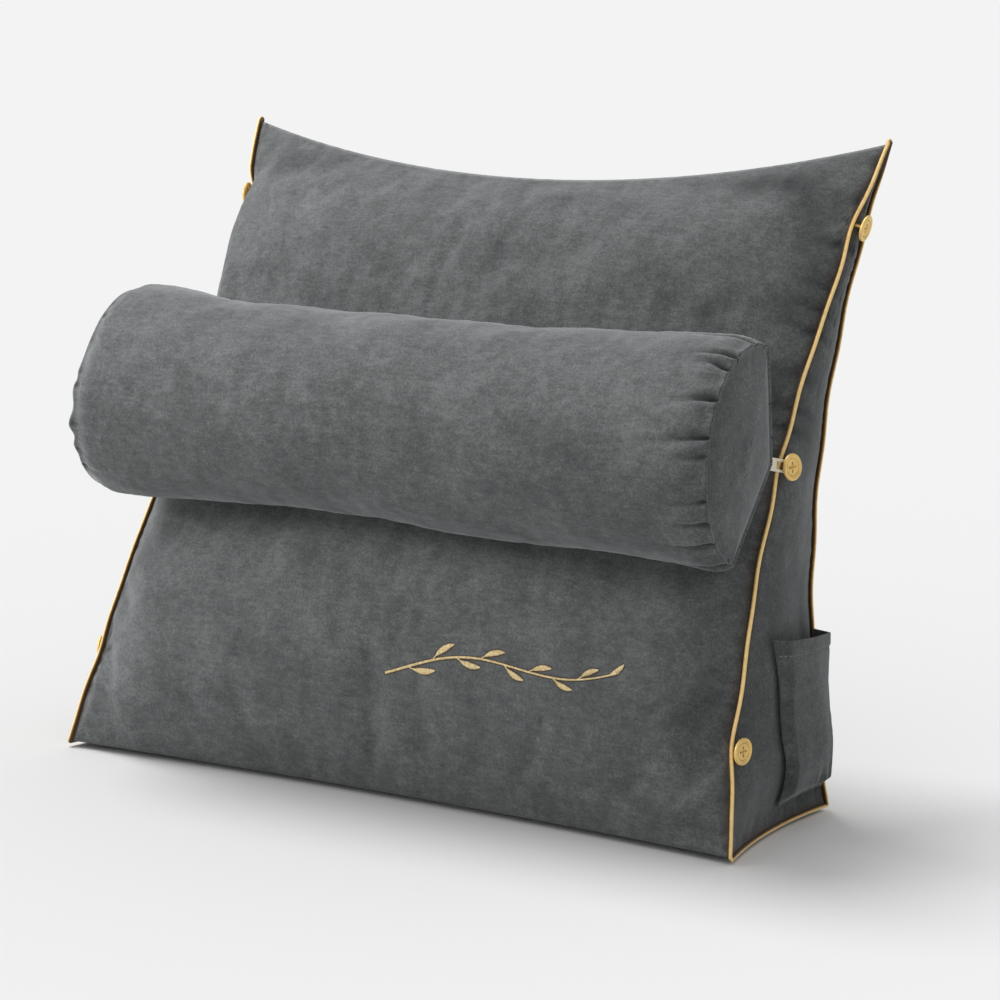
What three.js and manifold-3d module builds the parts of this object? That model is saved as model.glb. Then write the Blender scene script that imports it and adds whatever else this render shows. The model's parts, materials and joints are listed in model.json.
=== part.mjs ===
// A backrest pillow: a wedge cushion with gold piped side panels, a neck bolster looped to buttons
// on both sides, and one pocket. Millimetres; x runs across, y from front to back, z up.
// The origin is the middle of the flat underside.

import * as THREE from 'three';
import { mergeVertices } from 'three/addons/utils/BufferGeometryUtils.js';
import Module from 'manifold-3d';

// The wedge's seams: straight lines between its six corners, each drawn in or bowed by the filling
const WIDTH = 600;          // between the bottom corners
const TOP_WIDTH = 583;      // between the top corners
const BACK_WIDTH = 592;     // between the back bottom corners
const DEPTH = 160;          // bottom edge of a side panel
const HEIGHT = 487;         // from the bottom seams to the top corners
const TOP_BACK = 257;       // the top corners lie this far behind the front bottom seam
const SIDE_DRAW = 17.3;     // side seams, inwards
const LEFT_DRAW = 18;       // the left seams more than that, around LEFT_DRAW_AT of the height
const LEFT_DRAW_AT = 0.6;
const LEFT_DRAW_SPREAD = 0.3;
const ROLL_BACK = 10;       // above the bolster, the front panel rolls over the left seam, which lies
const ROLL_IN = 6;          // this far behind the roll and inside it
const ROLL_FROM = 0.56;     // the roll grows from this part of the height, and shrinks from ROLL_TO
const ROLL_TO = 0.86;
const ROLL_FADE = 0.07;
const ROLL_WIDTH = 0.035;
const ROLL_OUT = 8;         // the roll itself stands out this far
const FRONT_BOW = 26.2;     // front side seams, forwards
const BACK_BOW = 34;        // back side seams, forwards
const TOP_SAG = 34;         // top seam, downwards
const TOP_SKEW = 0.1;       // and more of that on the right than on the left
const TOP_LEAN = 47;        // top seam, forwards
const FRONT_TUCK = 11.4;    // front bottom seam, backwards
const BACK_TUCK = 12;       // back bottom seam, forwards
const END_TUCK = 8;         // bottom seams of the side panels, inwards
const SEAM_WAVE = 0.6;      // unevenness of the side seams
const BUTTON_PULL = 2.4;    // each button draws its seam in this far

// How far the filling pushes each panel past its seams
const FRONT_CROWN = 28;
const BACK_CROWN = 40;
const SIDE_CROWN = 12;
const BASE_DROP = 5;        // the underside lies flat this far below its seams
const RIM = 14;             // width of the sloping rim around the flat underside
const TROUGH = 26;          // the bolster presses the front crown in this far
const TROUGH_AT = 0.56;     // height of the trough, as a part of HEIGHT
const TROUGH_SPREAD = 0.12;

// The neck bolster
const BOLSTER_HALF = 286;         // from its middle to each end seam
const BOLSTER_TALL = 77.5;        // half its section along the slope of the wedge
const BOLSTER_DEEP = 63.6;        // half its section across the slope
const BOLSTER_FLARE = 9;          // both grow this much towards the ends
const BOLSTER_TILT = THREE.MathUtils.degToRad(18.3);
const BOLSTER_END = { y: -27, z: 287 };
const BOLSTER_MIDDLE = { y: -36.5, z: 287 };
const BOLSTER_DIP = 3;            // the right end hangs this much lower, the left end higher
const LEFT_END_DRAW = 11;         // the front of the left end is drawn in this far
const LEFT_END_LEAN = 3;          // and its top this much more
const BOLSTER_POINT = 34;         // the loops draw the back of each end out to a point this far
const DRAWN_LENGTH = 110;         // over this length the round back turns into that point
const PLEATS = 22;
const PLEAT_DEPTH = 6;
const SOFT_CONTACT = 5;           // how softly the bolster flattens against the wedge
const CONTACT_GAP = 0.7;          // allows for the flat facets of both

// Trim
const GAP = 0.35;                 // between touching pieces
const PIPING_RADIUS = 1.8;
const PIPING_SIDES = 6;
const PIPING_REACH = 6;           // the piping lies within this of its seam, to the front and back
const TIP_CLEARANCE = 0.35;       // more room where the piping doubles back at a top corner
const ROLL_CLEARANCE = 0.8;       // and where it lies behind the roll
const BUTTON_RADIUS = 10;
const BUTTON_RIM = 3.2;           // its thickness at the rim
const BUTTON_DISH = 2.2;          // its thickness in the middle
const SHANK_RADIUS = 1.3;
const HOLE_RADIUS = 0.9;
const HOLE_PLACE = 3.2;           // from the button's middle to each hole
const HOLE_SIDES = 6;
const LOOP_THICKNESS = 1.8;
const LOOP_HALF = 4.8;            // half its height
const LOOP_STRAND = 1.9;
const LOOP_WEB = 13;              // it is closed this far from where it is sewn on

// Buttons from top to bottom: height as a part of HEIGHT, and for each side the turn to the front and
// the tip upwards in degrees, and how far behind the front seam they are sewn on
const BUTTONS = [
  { at: 0.8775, right: { turn: -6, tip: -14, back: 3.2 }, left: { turn: 14, tip: 0, back: 3.2 } },
  { at: 0.5375, right: { turn: 12, tip: 5, back: 2 }, left: { turn: 12, tip: 5, back: 2 } },
  { at: 0.145, right: { turn: 8, tip: 0, back: 3.4 }, left: { turn: 24, tip: 0, back: 12 } },
];
const LOOPED = 1;                 // the bolster hangs on this button

// The pocket on the right side panel: heights of its edges, how far behind the middle its front edge
// lies below and above, its room below and at the mouth, and the gap under its sewn edges
const POCKET = {
  bottom: 20, topFront: 146, topBack: 139, frontLow: 8, frontHigh: -3, backInset: 2.4,
  room: 13, mouth: 16, cloth: 2.2, gap: 1,
};

const materials = {
  velvet: new THREE.MeshStandardMaterial({ color: 0x5c5f60, roughness: 0.95, metalness: 0 }),
  piping: new THREE.MeshStandardMaterial({ color: 0xc79a4a, roughness: 0.6, metalness: 0 }),
  button: new THREE.MeshStandardMaterial({ color: 0xe4be6a, roughness: 0.35, metalness: 0.2 }),
  elastic: new THREE.MeshStandardMaterial({ color: 0xd8cca6, roughness: 0.8, metalness: 0 }),
};

const FRONT_Y = -DEPTH / 2;
const arch = (t) => 4 * t * (1 - t);
const clamp01 = (t) => Math.min(1, Math.max(0, t));
const smooth = (t) => clamp01(t) ** 2 * (3 - 2 * clamp01(t));
const bell = (t) => Math.exp(-t * t);
const fadeEnds = (t) => Math.min(1, 4 * arch(t));
const swell = (t) => 1 - 0.6 * Math.abs(t) ** 4 - 0.4 * Math.abs(t) ** 14;

// Evenly spaced stations from 0 to 1, with one more close to each end
function stations(count, edge) {
  const inner = Array.from({ length: count + 1 }, (_, i) => edge + (1 - 2 * edge) * (i / count));
  return [0, ...inner, 1];
}

const ROLL_EDGE = ROLL_WIDTH / 4;
const ACROSS = [0, ROLL_EDGE, ...stations(18, RIM / WIDTH).slice(1, -1), 1 - ROLL_EDGE, 1]
  .map((t) => 2 * t - 1);
const UP = [...stations(25, 0.025), ...BUTTONS.map(({ at }) => at)].sort((a, b) => a - b);
const BACKWARDS = stations(6, RIM / DEPTH);

// Builds one closed solid from patches that share their edges
function solid(patches) {
  const positions = [];
  const indices = [];
  for (const { point, a, b, flip } of patches) {
    const start = positions.length / 3;
    for (const bb of b) {
      for (const aa of a) {
        positions.push(...point(aa, bb).toArray().map((c) => Math.round(c * 1e4) / 1e4));
      }
    }
    for (let j = 0; j + 1 < b.length; j++) {
      for (let i = 0; i + 1 < a.length; i++) {
        const p = start + j * a.length + i;
        const q = p + a.length;
        const faces = [[p, p + 1, q + 1], [p, q + 1, q]];
        for (const [f, g, h] of faces) indices.push(...(flip ? [f, h, g] : [f, g, h]));
      }
    }
  }
  const loose = new THREE.BufferGeometry();
  loose.setAttribute('position', new THREE.Float32BufferAttribute(positions, 3));
  loose.setIndex(indices);
  const merged = mergeVertices(loose, 1e-3);
  const old = merged.getIndex().array;
  const kept = [];
  for (let i = 0; i < old.length; i += 3) {
    const [f, g, h] = [old[i], old[i + 1], old[i + 2]];
    if (f !== g && g !== h && h !== f) kept.push(f, g, h);
  }
  merged.setIndex(kept);
  merged.computeVertexNormals();
  return merged;
}

// The wedge

// How far the seams of one side lie from the middle at height part v
function halfWidth(v, side, bottomWidth) {
  const straight = (bottomWidth / 2) * (1 - v) + (TOP_WIDTH / 2) * v;
  const uneven = side < 0 ? LEFT_DRAW * fadeEnds(v) * bell((v - LEFT_DRAW_AT) / LEFT_DRAW_SPREAD) : 0;
  return straight - SIDE_DRAW * arch(v) - uneven;
}

// How strongly the front panel rolls over its seam at height part v: on the left side only
function roll(v, side) {
  const grown = smooth((v - ROLL_FROM) / ROLL_FADE);
  return side < 0 ? grown * (1 - smooth((v - ROLL_TO) / ROLL_FADE)) : 0;
}

function frontSeam(v, side) {
  const pull = BUTTONS.reduce((sum, button) => sum + BUTTON_PULL * bell((v - button.at) / 0.04), 0);
  const wave = SEAM_WAVE * fadeEnds(v) * (Math.sin(25 * v + side) + 0.5 * Math.sin(53 * v + 2 * side));
  const y = FRONT_Y + TOP_BACK * v - FRONT_BOW * arch(v) + 0.5 * wave + ROLL_BACK * roll(v, side);
  const x = halfWidth(v, side, WIDTH) - pull * fadeEnds(v) + wave - ROLL_IN * roll(v, side);
  return new THREE.Vector3(side * x, y, BASE_DROP + HEIGHT * v);
}

function backSeam(v, side) {
  const wave = SEAM_WAVE * fadeEnds(v) * Math.sin(43 * v + 3 * side);
  const y = FRONT_Y + DEPTH * (1 - v) + TOP_BACK * v - BACK_BOW * arch(v) + 0.5 * wave;
  return new THREE.Vector3(side * (halfWidth(v, side, BACK_WIDTH) + wave), y, BASE_DROP + HEIGHT * v);
}

function endSeam(w, side) {
  const corner = (WIDTH / 2) * (1 - w) + (BACK_WIDTH / 2) * w;
  return new THREE.Vector3(side * (corner - END_TUCK * arch(w)), FRONT_Y + DEPTH * w, BASE_DROP);
}

// A front or back panel point before the filling pushes it out: u runs from -1 to 1 across
function flatPanel(u, v, seam, tuck) {
  const left = seam(v, -1);
  const right = seam(v, 1);
  const point = left.lerp(right, (u + 1) / 2);
  const inwards = 1 - u * u;
  point.y += inwards * (tuck * (1 - v) - TOP_LEAN * v);
  point.z -= inwards * TOP_SAG * v * (1 + TOP_SKEW * u);
  return point;
}

const FRONT_NORMAL = new THREE.Vector3(0, -HEIGHT, TOP_BACK).normalize();
const BACK_NORMAL = new THREE.Vector3(0, HEIGHT, DEPTH - TOP_BACK).normalize();

function frontPanel(u, v) {
  const pressed = TROUGH * bell((v - TROUGH_AT) / TROUGH_SPREAD);
  const fullness = (FRONT_CROWN - pressed) * swell(2 * v - 1);
  const dimples = BUTTONS.reduce(
    (sum, button) => sum + bell((1 - Math.abs(u)) / 0.11) * bell((v - button.at) / 0.05), 0);
  const crown = swell(u) * fullness * (1 - 0.35 * dimples);
  const point = flatPanel(u, v, frontSeam, FRONT_TUCK).addScaledVector(FRONT_NORMAL, crown);
  const onlyAtEdge = roll(v, -1) * (1 - smooth((1 + u) / ROLL_WIDTH) - (1 - u) / 2);
  const onRoll = bell((1 + u - 1.1 * ROLL_WIDTH) / ROLL_WIDTH) * smooth((1 + u) / 0.008);
  const overhang = ROLL_OUT * roll(v, -1) * onRoll;
  point.y += ROLL_BACK * onlyAtEdge - 0.53 * overhang;
  point.x += ROLL_IN * onlyAtEdge - 0.85 * overhang;
  return point;
}

function backPanel(u, v) {
  const crown = BACK_CROWN * swell(u) * swell(2 * v - 1);
  return flatPanel(u, v, backSeam, -BACK_TUCK).addScaledVector(BACK_NORMAL, crown);
}

function sidePanel(w, v, side) {
  const point = frontSeam(v, side).lerp(backSeam(v, side), w);
  const fullness = SIDE_CROWN * arch(w) * smooth(v / 0.12) * (1 - v) ** 0.8;
  point.x += side * (fullness - END_TUCK * arch(w) * (1 - v) ** 6);
  return point;
}

function basePanel(u, w) {
  const inwards = 1 - u * u;
  const x = u * Math.abs(endSeam(w, 1).x);
  const y = FRONT_Y + FRONT_TUCK * inwards * (1 - w) + (DEPTH - BACK_TUCK * inwards) * w;
  const edge = Math.min((1 - Math.abs(u)) * (WIDTH / 2), w * DEPTH, (1 - w) * DEPTH);
  return new THREE.Vector3(x, y, BASE_DROP * (1 - Math.min(1, edge / RIM + 1e-9)));
}

function wedgeGeometry() {
  return solid([
    { point: frontPanel, a: ACROSS, b: UP, flip: false },
    { point: backPanel, a: ACROSS, b: UP, flip: true },
    { point: basePanel, a: ACROSS, b: BACKWARDS, flip: true },
    { point: (w, v) => sidePanel(w, v, 1), a: BACKWARDS, b: UP, flip: false },
    { point: (w, v) => sidePanel(w, v, -1), a: BACKWARDS, b: UP, flip: true },
  ]);
}

// The y of the front panel above a point of the x, z plane
function frontY(x, z) {
  let v = clamp01((z - BASE_DROP) / HEIGHT);
  let u = 0;
  for (let step = 0; step < 12; step++) {
    u = Math.max(-1, Math.min(1, x / halfWidth(v, Math.sign(x), WIDTH)));
    v = clamp01(v + (z - frontPanel(u, v).z) / HEIGHT);
  }
  return frontPanel(u, v).y;
}

// How far a side panel lies from the middle beside a point of the y, z plane
function sideX(y, z, side) {
  const v = clamp01((z - BASE_DROP) / HEIGHT);
  const front = frontSeam(v, side).y;
  const w = clamp01((y - front) / Math.max(1, backSeam(v, side).y - front));
  return Math.abs(sidePanel(w, v, side).x);
}

// The bolster

// Uneven pleat k of the gathered seam: where it starts around the section, counted from the back
// point, and how long it runs
const pleatPlace = (k) => (2 * Math.PI * (k + 0.24 * Math.sin(2.4 * k + 1))) / PLEATS;
const pleatAngle = (k) => -Math.PI / 2 + pleatPlace(k) - pleatPlace(0);
const pleatLength = (k, side) => 20 + 9 * Math.sin(1.7 * k + 2 * side);

function sectionStations() {
  const angles = [];
  for (let k = 0; k < PLEATS; k++) {
    const next = k + 1 < PLEATS ? pleatAngle(k + 1) : pleatAngle(0) + 2 * Math.PI;
    for (const part of [0, 0.3, 0.7]) angles.push(pleatAngle(k) + part * (next - pleatAngle(k)));
  }
  return [...angles, angles[0] + 2 * Math.PI];
}

const AROUND = sectionStations();

// Follows the section by station number, so that a pleat keeps its own length
function bolsterSkin(i, x) {
  const angle = AROUND[i % (AROUND.length - 1)];
  const side = Math.sign(x) || 1;
  const t = x / BOLSTER_HALF;
  const fromEnd = BOLSTER_HALF - Math.abs(x);
  const pleat = Math.floor((i % (AROUND.length - 1)) / 3);
  const front = Math.sin(angle) > -0.2 ? 1 : 0.4;
  const valley = (i % 3 === 0 ? 1 : 0.12) * front;
  const offSeam = smooth(fromEnd / 6);
  const gather = PLEAT_DEPTH * valley * offSeam * Math.exp(-fromEnd / pleatLength(pleat, side));
  const rounding = side < 0 ? 4 * bell(fromEnd / 30) * Math.max(0, Math.cos(angle)) : 0;
  const drawnIn = 6 * bell(fromEnd / 12) + gather + rounding;
  const uneven = 1.2 * Math.sin(2 * angle + 5 * t) + 0.9 * Math.sin(3 * angle - 7 * t);
  const size = uneven - drawnIn + BOLSTER_FLARE * t * t;
  const along = (BOLSTER_TALL + size) * Math.cos(angle);
  const round = (BOLSTER_DEEP + size) * Math.sin(angle);
  const pointed = -BOLSTER_POINT * (1 - Math.abs(Math.cos(angle)));
  const drawn = smooth(1 - fromEnd / DRAWN_LENGTH);
  const across = round < 0 ? round * (1 - drawn) + pointed * drawn : round;
  const centre = bolsterCentre(t);
  const y = centre.y + along * Math.sin(BOLSTER_TILT) - across * Math.cos(BOLSTER_TILT);
  const z = centre.z + along * Math.cos(BOLSTER_TILT) + across * Math.sin(BOLSTER_TILT);
  const draw = (LEFT_END_DRAW / 2) * (1 + Math.sin(angle)) + LEFT_END_LEAN * Math.cos(angle);
  const lean = side < 0 ? draw * Math.abs(t) ** 8 : 0;
  return flattened(new THREE.Vector3(x + lean, y, z));
}

function bolsterCentre(t) {
  const middle = 1 - t * t;
  const y = BOLSTER_END.y + (BOLSTER_MIDDLE.y - BOLSTER_END.y) * middle;
  const z = BOLSTER_END.z + (BOLSTER_MIDDLE.z - BOLSTER_END.z) * middle - BOLSTER_DIP * t;
  return new THREE.Vector3(t * BOLSTER_HALF, y, z);
}

// The point at the back of an end seam, where the loop is sewn
function bolsterPoint(side) {
  const point = bolsterCentre(side);
  point.y += BOLSTER_POINT * Math.cos(BOLSTER_TILT);
  point.z -= BOLSTER_POINT * Math.sin(BOLSTER_TILT);
  return point;
}

// Keeps a bolster point in front of the wedge, flattening softly as it comes near
function flattened(point) {
  const room = frontY(point.x, point.z) - CONTACT_GAP - point.y;
  point.y += room - (room + Math.hypot(room, SOFT_CONTACT)) / 2;
  return point;
}

// An end panel, set in at its seam and filled out a little
function bolsterEnd(i, part, side) {
  const rim = bolsterSkin(i, side * BOLSTER_HALF);
  const middle = bolsterCentre(side);
  middle.y -= BOLSTER_DEEP / 4;
  const point = middle.lerp(rim, part);
  if (part < 1) point.x += side * (4 * (1 - part * part) - 2 * bell((1 - part) / 0.12));
  return point;
}

function bolsterGeometry() {
  const round = AROUND.map((_, i) => i);
  const fromEnds = [0, 6, 14, 26, 42, 66];
  const half = [...fromEnds.map((d) => BOLSTER_HALF - d), 160, 100, 40];
  const along = [...half.map((x) => -x), ...half.slice().reverse()];
  const cap = [1, 0.92, 0.72, 0.4, 0];
  return solid([
    { point: bolsterSkin, a: round, b: along, flip: false },
    { point: (i, part) => bolsterEnd(i, part, 1), a: round, b: cap, flip: false },
    { point: (i, part) => bolsterEnd(i, part, -1), a: round, b: cap, flip: true },
  ]);
}

// The piping

// Stations with their middles, placed on the straight edges between the wedge's own stations
function alongSeam(list, seam) {
  const points = [];
  list.forEach((t, i) => {
    const here = seam(t);
    points.push({ t, point: here });
    if (i + 1 < list.length) {
      const next = list[i + 1];
      points.push({ t: (t + next) / 2, point: here.clone().lerp(seam(next), 0.5) });
    }
  });
  return points;
}

// Points of the seam round a side panel, each with the direction in which the piping lies off it
function pipingRoute(side) {
  const out = new THREE.Vector3(side, 0, 0);
  const tip = frontSeam(1, side);
  const turned = (normal, share, v) => {
    const spread = smooth((v - 0.9) / 0.1);
    const sideways = new THREE.Vector3(0.3 * side, Math.sign(normal.y), 0.2).normalize();
    return out.clone().addScaledVector(normal, share).normalize().lerp(sideways, spread).normalize();
  };
  const front = alongSeam(UP, (v) => frontSeam(v, side))
    .map(({ t, point }) => {
      const rolled = roll(t, side);
      return { point, rolled, off: turned(FRONT_NORMAL, 1 - 0.7 * rolled, t) };
    });
  const back = alongSeam([...UP].reverse(), (v) => backSeam(v, side))
    .map(({ t, point }) => ({ point, off: turned(BACK_NORMAL, 0.35, t) }));
  const down = new THREE.Vector3(side, 0, -0.8).normalize();
  const bottom = alongSeam([...BACKWARDS].reverse(), (w) => endSeam(w, side))
    .map(({ point }) => ({ point, off: down }));
  const over = [[0.2, -0.75, 0.65], [0.15, 0, 1], [0.2, 0.75, 0.65]]
    .map(([x, y, z]) => ({ point: tip, off: new THREE.Vector3(x * side, y, z).normalize() }));
  const corner = (from, to, point) => [0.33, 0.67]
    .map((t) => ({ point, off: from.off.clone().lerp(to.off, t).normalize() }));
  const behind = corner(back[back.length - 1], bottom[0], endSeam(1, side));
  const before = corner(bottom[bottom.length - 1], front[0], endSeam(0, side));
  return [...front, ...over, ...back, ...behind, ...bottom, ...before];
}

function pipingGeometry(side) {
  const centres = pipingRoute(side).map(({ point, off, rolled = 0 }) => {
    const nearTip = smooth((point.z - BASE_DROP - 0.9 * HEIGHT) / (0.06 * HEIGHT));
    const reach = PIPING_RADIUS + GAP + TIP_CLEARANCE * nearTip + ROLL_CLEARANCE * rolled;
    return { off, centre: point.clone().addScaledVector(off, reach) };
  });
  const count = centres.length;
  const at = (i) => centres[((i % count) + count) % count];
  const ring = (k, i) => {
    const { centre, off } = at(i);
    const ahead = at(i + 1).centre.clone().sub(at(i - 1).centre).normalize();
    const outwards = off.clone().addScaledVector(ahead, -off.dot(ahead)).normalize();
    const beside = ahead.clone().cross(outwards);
    const angle = (k * 2 * Math.PI) / PIPING_SIDES;
    return centre.clone()
      .addScaledVector(outwards, PIPING_RADIUS * Math.cos(angle))
      .addScaledVector(beside, PIPING_RADIUS * Math.sin(angle));
  };
  const sides = Array.from({ length: PIPING_SIDES + 1 }, (_, k) => k % PIPING_SIDES);
  const steps = Array.from({ length: count + 1 }, (_, i) => i);
  return solid([{ point: ring, a: sides, b: steps, flip: false }]);
}

// How far the piping reaches from the middle beside a point of the side panel, or 0 away from it
function pipingX(y, z, side) {
  const v = clamp01((z - BASE_DROP) / HEIGHT);
  const seams = [frontSeam(v, side), backSeam(v, side)]
    .filter((seam) => Math.abs(y - seam.y) < PIPING_REACH);
  return seams.reduce((far, seam) => Math.max(far, Math.abs(seam.x) + GAP + 2 * PIPING_RADIUS), 0);
}

// The buttons

const wasm = await Module();
wasm.setup();

function toManifold(geometry) {
  const bare = geometry.clone();
  bare.deleteAttribute('normal');
  bare.deleteAttribute('uv');
  const merged = mergeVertices(bare, 1e-3);
  return new wasm.Manifold(new wasm.Mesh({
    numProp: 3,
    vertProperties: merged.getAttribute('position').array,
    triVerts: Uint32Array.from(merged.getIndex().array),
  }));
}

function fromManifold(manifold) {
  const { vertProperties, triVerts } = manifold.getMesh();
  const geometry = new THREE.BufferGeometry();
  geometry.setAttribute('position', new THREE.Float32BufferAttribute(vertProperties, 3));
  geometry.setIndex(Array.from(triVerts));
  geometry.computeVertexNormals();
  return geometry;
}

// A dished disc with a raised rim, four holes and a thread shank; its axis is +y, its underside at y = 0
function buttonGeometry(shank) {
  const r = BUTTON_RADIUS;
  const profile = [
    [0, -shank], [SHANK_RADIUS, -shank], [SHANK_RADIUS, 0], [r - 1.2, 0], [r, 1], [r, BUTTON_RIM - 0.7],
    [r - 0.8, BUTTON_RIM], [r - 2, BUTTON_RIM], [r - 3, BUTTON_DISH], [0, BUTTON_DISH],
  ].map(([x, y]) => new THREE.Vector2(x, y));
  let disc = toManifold(new THREE.LatheGeometry(profile, 18));
  for (const [x, z] of [[1, 0], [0, 1], [-1, 0], [0, -1]]) {
    const hole = new THREE.CylinderGeometry(HOLE_RADIUS, HOLE_RADIUS, 4 * BUTTON_RIM, HOLE_SIDES);
    hole.translate(x * HOLE_PLACE, 0, z * HOLE_PLACE);
    disc = disc.subtract(toManifold(hole));
  }
  return fromManifold(disc);
}

// Where a button stands: the centre of its underside, its axis and the length of its shank
function buttonPlace(button, side, looped) {
  const seam = frontSeam(button.at, side);
  const { turn, tip, back } = side > 0 ? button.right : button.left;
  const a = THREE.MathUtils.degToRad(turn);
  const b = THREE.MathUtils.degToRad(tip);
  const axis = new THREE.Vector3(side * Math.cos(a) * Math.cos(b), -Math.sin(a) * Math.cos(b), Math.sin(b));
  const centre = new THREE.Vector3(0, seam.y + back, seam.z);
  const across = new THREE.Vector3().crossVectors(axis, new THREE.Vector3(0, 0, 1)).normalize();
  const upwards = new THREE.Vector3().crossVectors(across, axis);
  const loop = looped ? loopInner() + LOOP_THICKNESS : 0;
  let clear = 0;
  for (let k = 0; k < 24; k++) {
    const angle = (k * Math.PI) / 12;
    const spoke = across.clone().multiplyScalar(Math.cos(angle)).addScaledVector(upwards, Math.sin(angle));
    for (const reach of [0.5, 1]) {
      const q = spoke.clone().multiplyScalar(reach * BUTTON_RADIUS).add(centre);
      const under = Math.max(sideX(q.y, q.z, side), pipingX(q.y, q.z, side), loop);
      clear = Math.max(clear, under + GAP - side * q.x);
    }
  }
  centre.x = side * clear;
  let shank = Infinity;
  for (let k = 0; k < 12; k++) {
    const angle = (k * Math.PI) / 6;
    const q = across.clone().multiplyScalar(Math.cos(angle)).addScaledVector(upwards, Math.sin(angle))
      .multiplyScalar(SHANK_RADIUS).add(centre);
    let reach = 0;
    for (let step = 0; step < 6; step++) {
      const foot = q.clone().addScaledVector(axis, -reach);
      reach = (side * q.x - sideX(foot.y, foot.z, side) - CONTACT_GAP) / (side * axis.x);
    }
    shank = Math.min(shank, reach);
  }
  return { centre, axis, shank };
}

function buttonMesh(name, place) {
  const mesh = new THREE.Mesh(buttonGeometry(place.shank), materials.button);
  mesh.name = name;
  mesh.position.copy(place.centre);
  mesh.quaternion.setFromUnitVectors(new THREE.Vector3(0, 1, 0), place.axis);
  return mesh;
}

// The loops

// A loop lies just outside the piping of both seams, under the button
function loopInner() {
  const reaches = [-1, 0, 1, 2].flatMap((k) => [1, -1].flatMap((side) => {
    const v = BUTTONS[LOOPED].at + (k * LOOP_HALF) / HEIGHT;
    return [frontSeam(v, side), backSeam(v, side)].map((seam) => pipingX(seam.y, seam.z, side));
  }));
  return Math.max(...reaches) + GAP;
}

function loopMesh(name, side) {
  const button = BUTTONS[LOOPED];
  const seam = frontSeam(button.at, side);
  const shank = new THREE.Vector2(seam.y + (side > 0 ? button.right : button.left).back, seam.z);
  const sewn = bolsterPoint(side);
  const root = new THREE.Vector2(sewn.y, sewn.z);
  const length = shank.distanceTo(root);
  const outline = new THREE.Shape();
  outline.moveTo(0, -LOOP_HALF);
  outline.lineTo(length, -LOOP_HALF);
  outline.absarc(length, 0, LOOP_HALF, -Math.PI / 2, Math.PI / 2);
  outline.lineTo(0, LOOP_HALF);
  const inner = LOOP_HALF - LOOP_STRAND;
  const slot = new THREE.Path();
  slot.moveTo(LOOP_WEB, -inner);
  slot.lineTo(LOOP_WEB, inner);
  slot.lineTo(length, inner);
  slot.absarc(length, 0, inner, Math.PI / 2, -Math.PI / 2, true);
  outline.holes.push(slot);
  const geometry = new THREE.ExtrudeGeometry(outline, {
    depth: LOOP_THICKNESS, bevelEnabled: false, curveSegments: 8,
  });
  const mesh = new THREE.Mesh(geometry, materials.elastic);
  mesh.name = name;
  const along = new THREE.Vector3(0, shank.x - root.x, shank.y - root.y).normalize();
  const out = new THREE.Vector3(1, 0, 0);
  mesh.quaternion.setFromRotationMatrix(
    new THREE.Matrix4().makeBasis(along, out.clone().cross(along), out));
  mesh.position.set(side > 0 ? loopInner() : -loopInner() - LOOP_THICKNESS, root.x, root.y);
  return mesh;
}

// The pocket

// One side of its cloth: p runs from its front edge to the back seam, q from its bottom to its mouth
function pocketFace(p, q, layer) {
  const top = POCKET.topFront * (1 - p) + POCKET.topBack * p;
  const z = POCKET.bottom + (top - POCKET.bottom) * q;
  const v = (z - BASE_DROP) / HEIGHT;
  const back = backSeam(v, 1).y - POCKET.backInset;
  const front = POCKET.frontLow * (1 - q) + POCKET.frontHigh * q;
  const y = front * (1 - p) + back * p;
  const fullness = POCKET.room + (POCKET.mouth - POCKET.room) * q;
  const room = fullness * (1 - Math.abs(2 * p - 1) ** 4) * smooth(q / 0.16);
  return new THREE.Vector3(sideX(y, z, 1) + POCKET.gap + room + layer * POCKET.cloth, y, z);
}

function pocketGeometry() {
  const p = [0, 0.06, 0.14, 0.26, 0.42, 0.58, 0.74, 0.86, 0.94, 1];
  const q = [0, 0.05, 0.1, 0.16, 0.3, 0.47, 0.65, 0.83, 1];
  const layers = [0, 1];
  return solid([
    { point: (a, b) => pocketFace(a, b, 1), a: p, b: q, flip: false },
    { point: (a, b) => pocketFace(a, b, 0), a: p, b: q, flip: true },
    { point: (a, layer) => pocketFace(a, 1, layer), a: p, b: layers, flip: true },
    { point: (a, layer) => pocketFace(a, 0, layer), a: p, b: layers, flip: false },
    { point: (b, layer) => pocketFace(0, b, layer), a: q, b: layers, flip: true },
    { point: (b, layer) => pocketFace(1, b, layer), a: q, b: layers, flip: false },
  ]);
}

// The pillow

function piece(name, geometry, material) {
  const mesh = new THREE.Mesh(geometry, material);
  mesh.name = name;
  return mesh;
}

const pillow = new THREE.Group();
pillow.add(
  piece('wedge_cushion', wedgeGeometry(), materials.velvet),
  piece('neck_bolster', bolsterGeometry(), materials.velvet),
  piece('pocket', pocketGeometry(), materials.velvet),
);
for (const [word, side] of [['right', 1], ['left', -1]]) {
  pillow.add(piece(`piping_${word}`, pipingGeometry(side), materials.piping));
  BUTTONS.forEach((button, i) => {
    const place = buttonPlace(button, side, i === LOOPED);
    pillow.add(buttonMesh(`button_${word}_${i + 1}`, place));
  });
  pillow.add(loopMesh(`loop_${word}`, side));
}

export default pillow;
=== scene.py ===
import json
import math

import bmesh
import bpy
import numpy as np
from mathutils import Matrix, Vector
from mathutils.bvhtree import BVHTree
from mathutils.kdtree import KDTree

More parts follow.
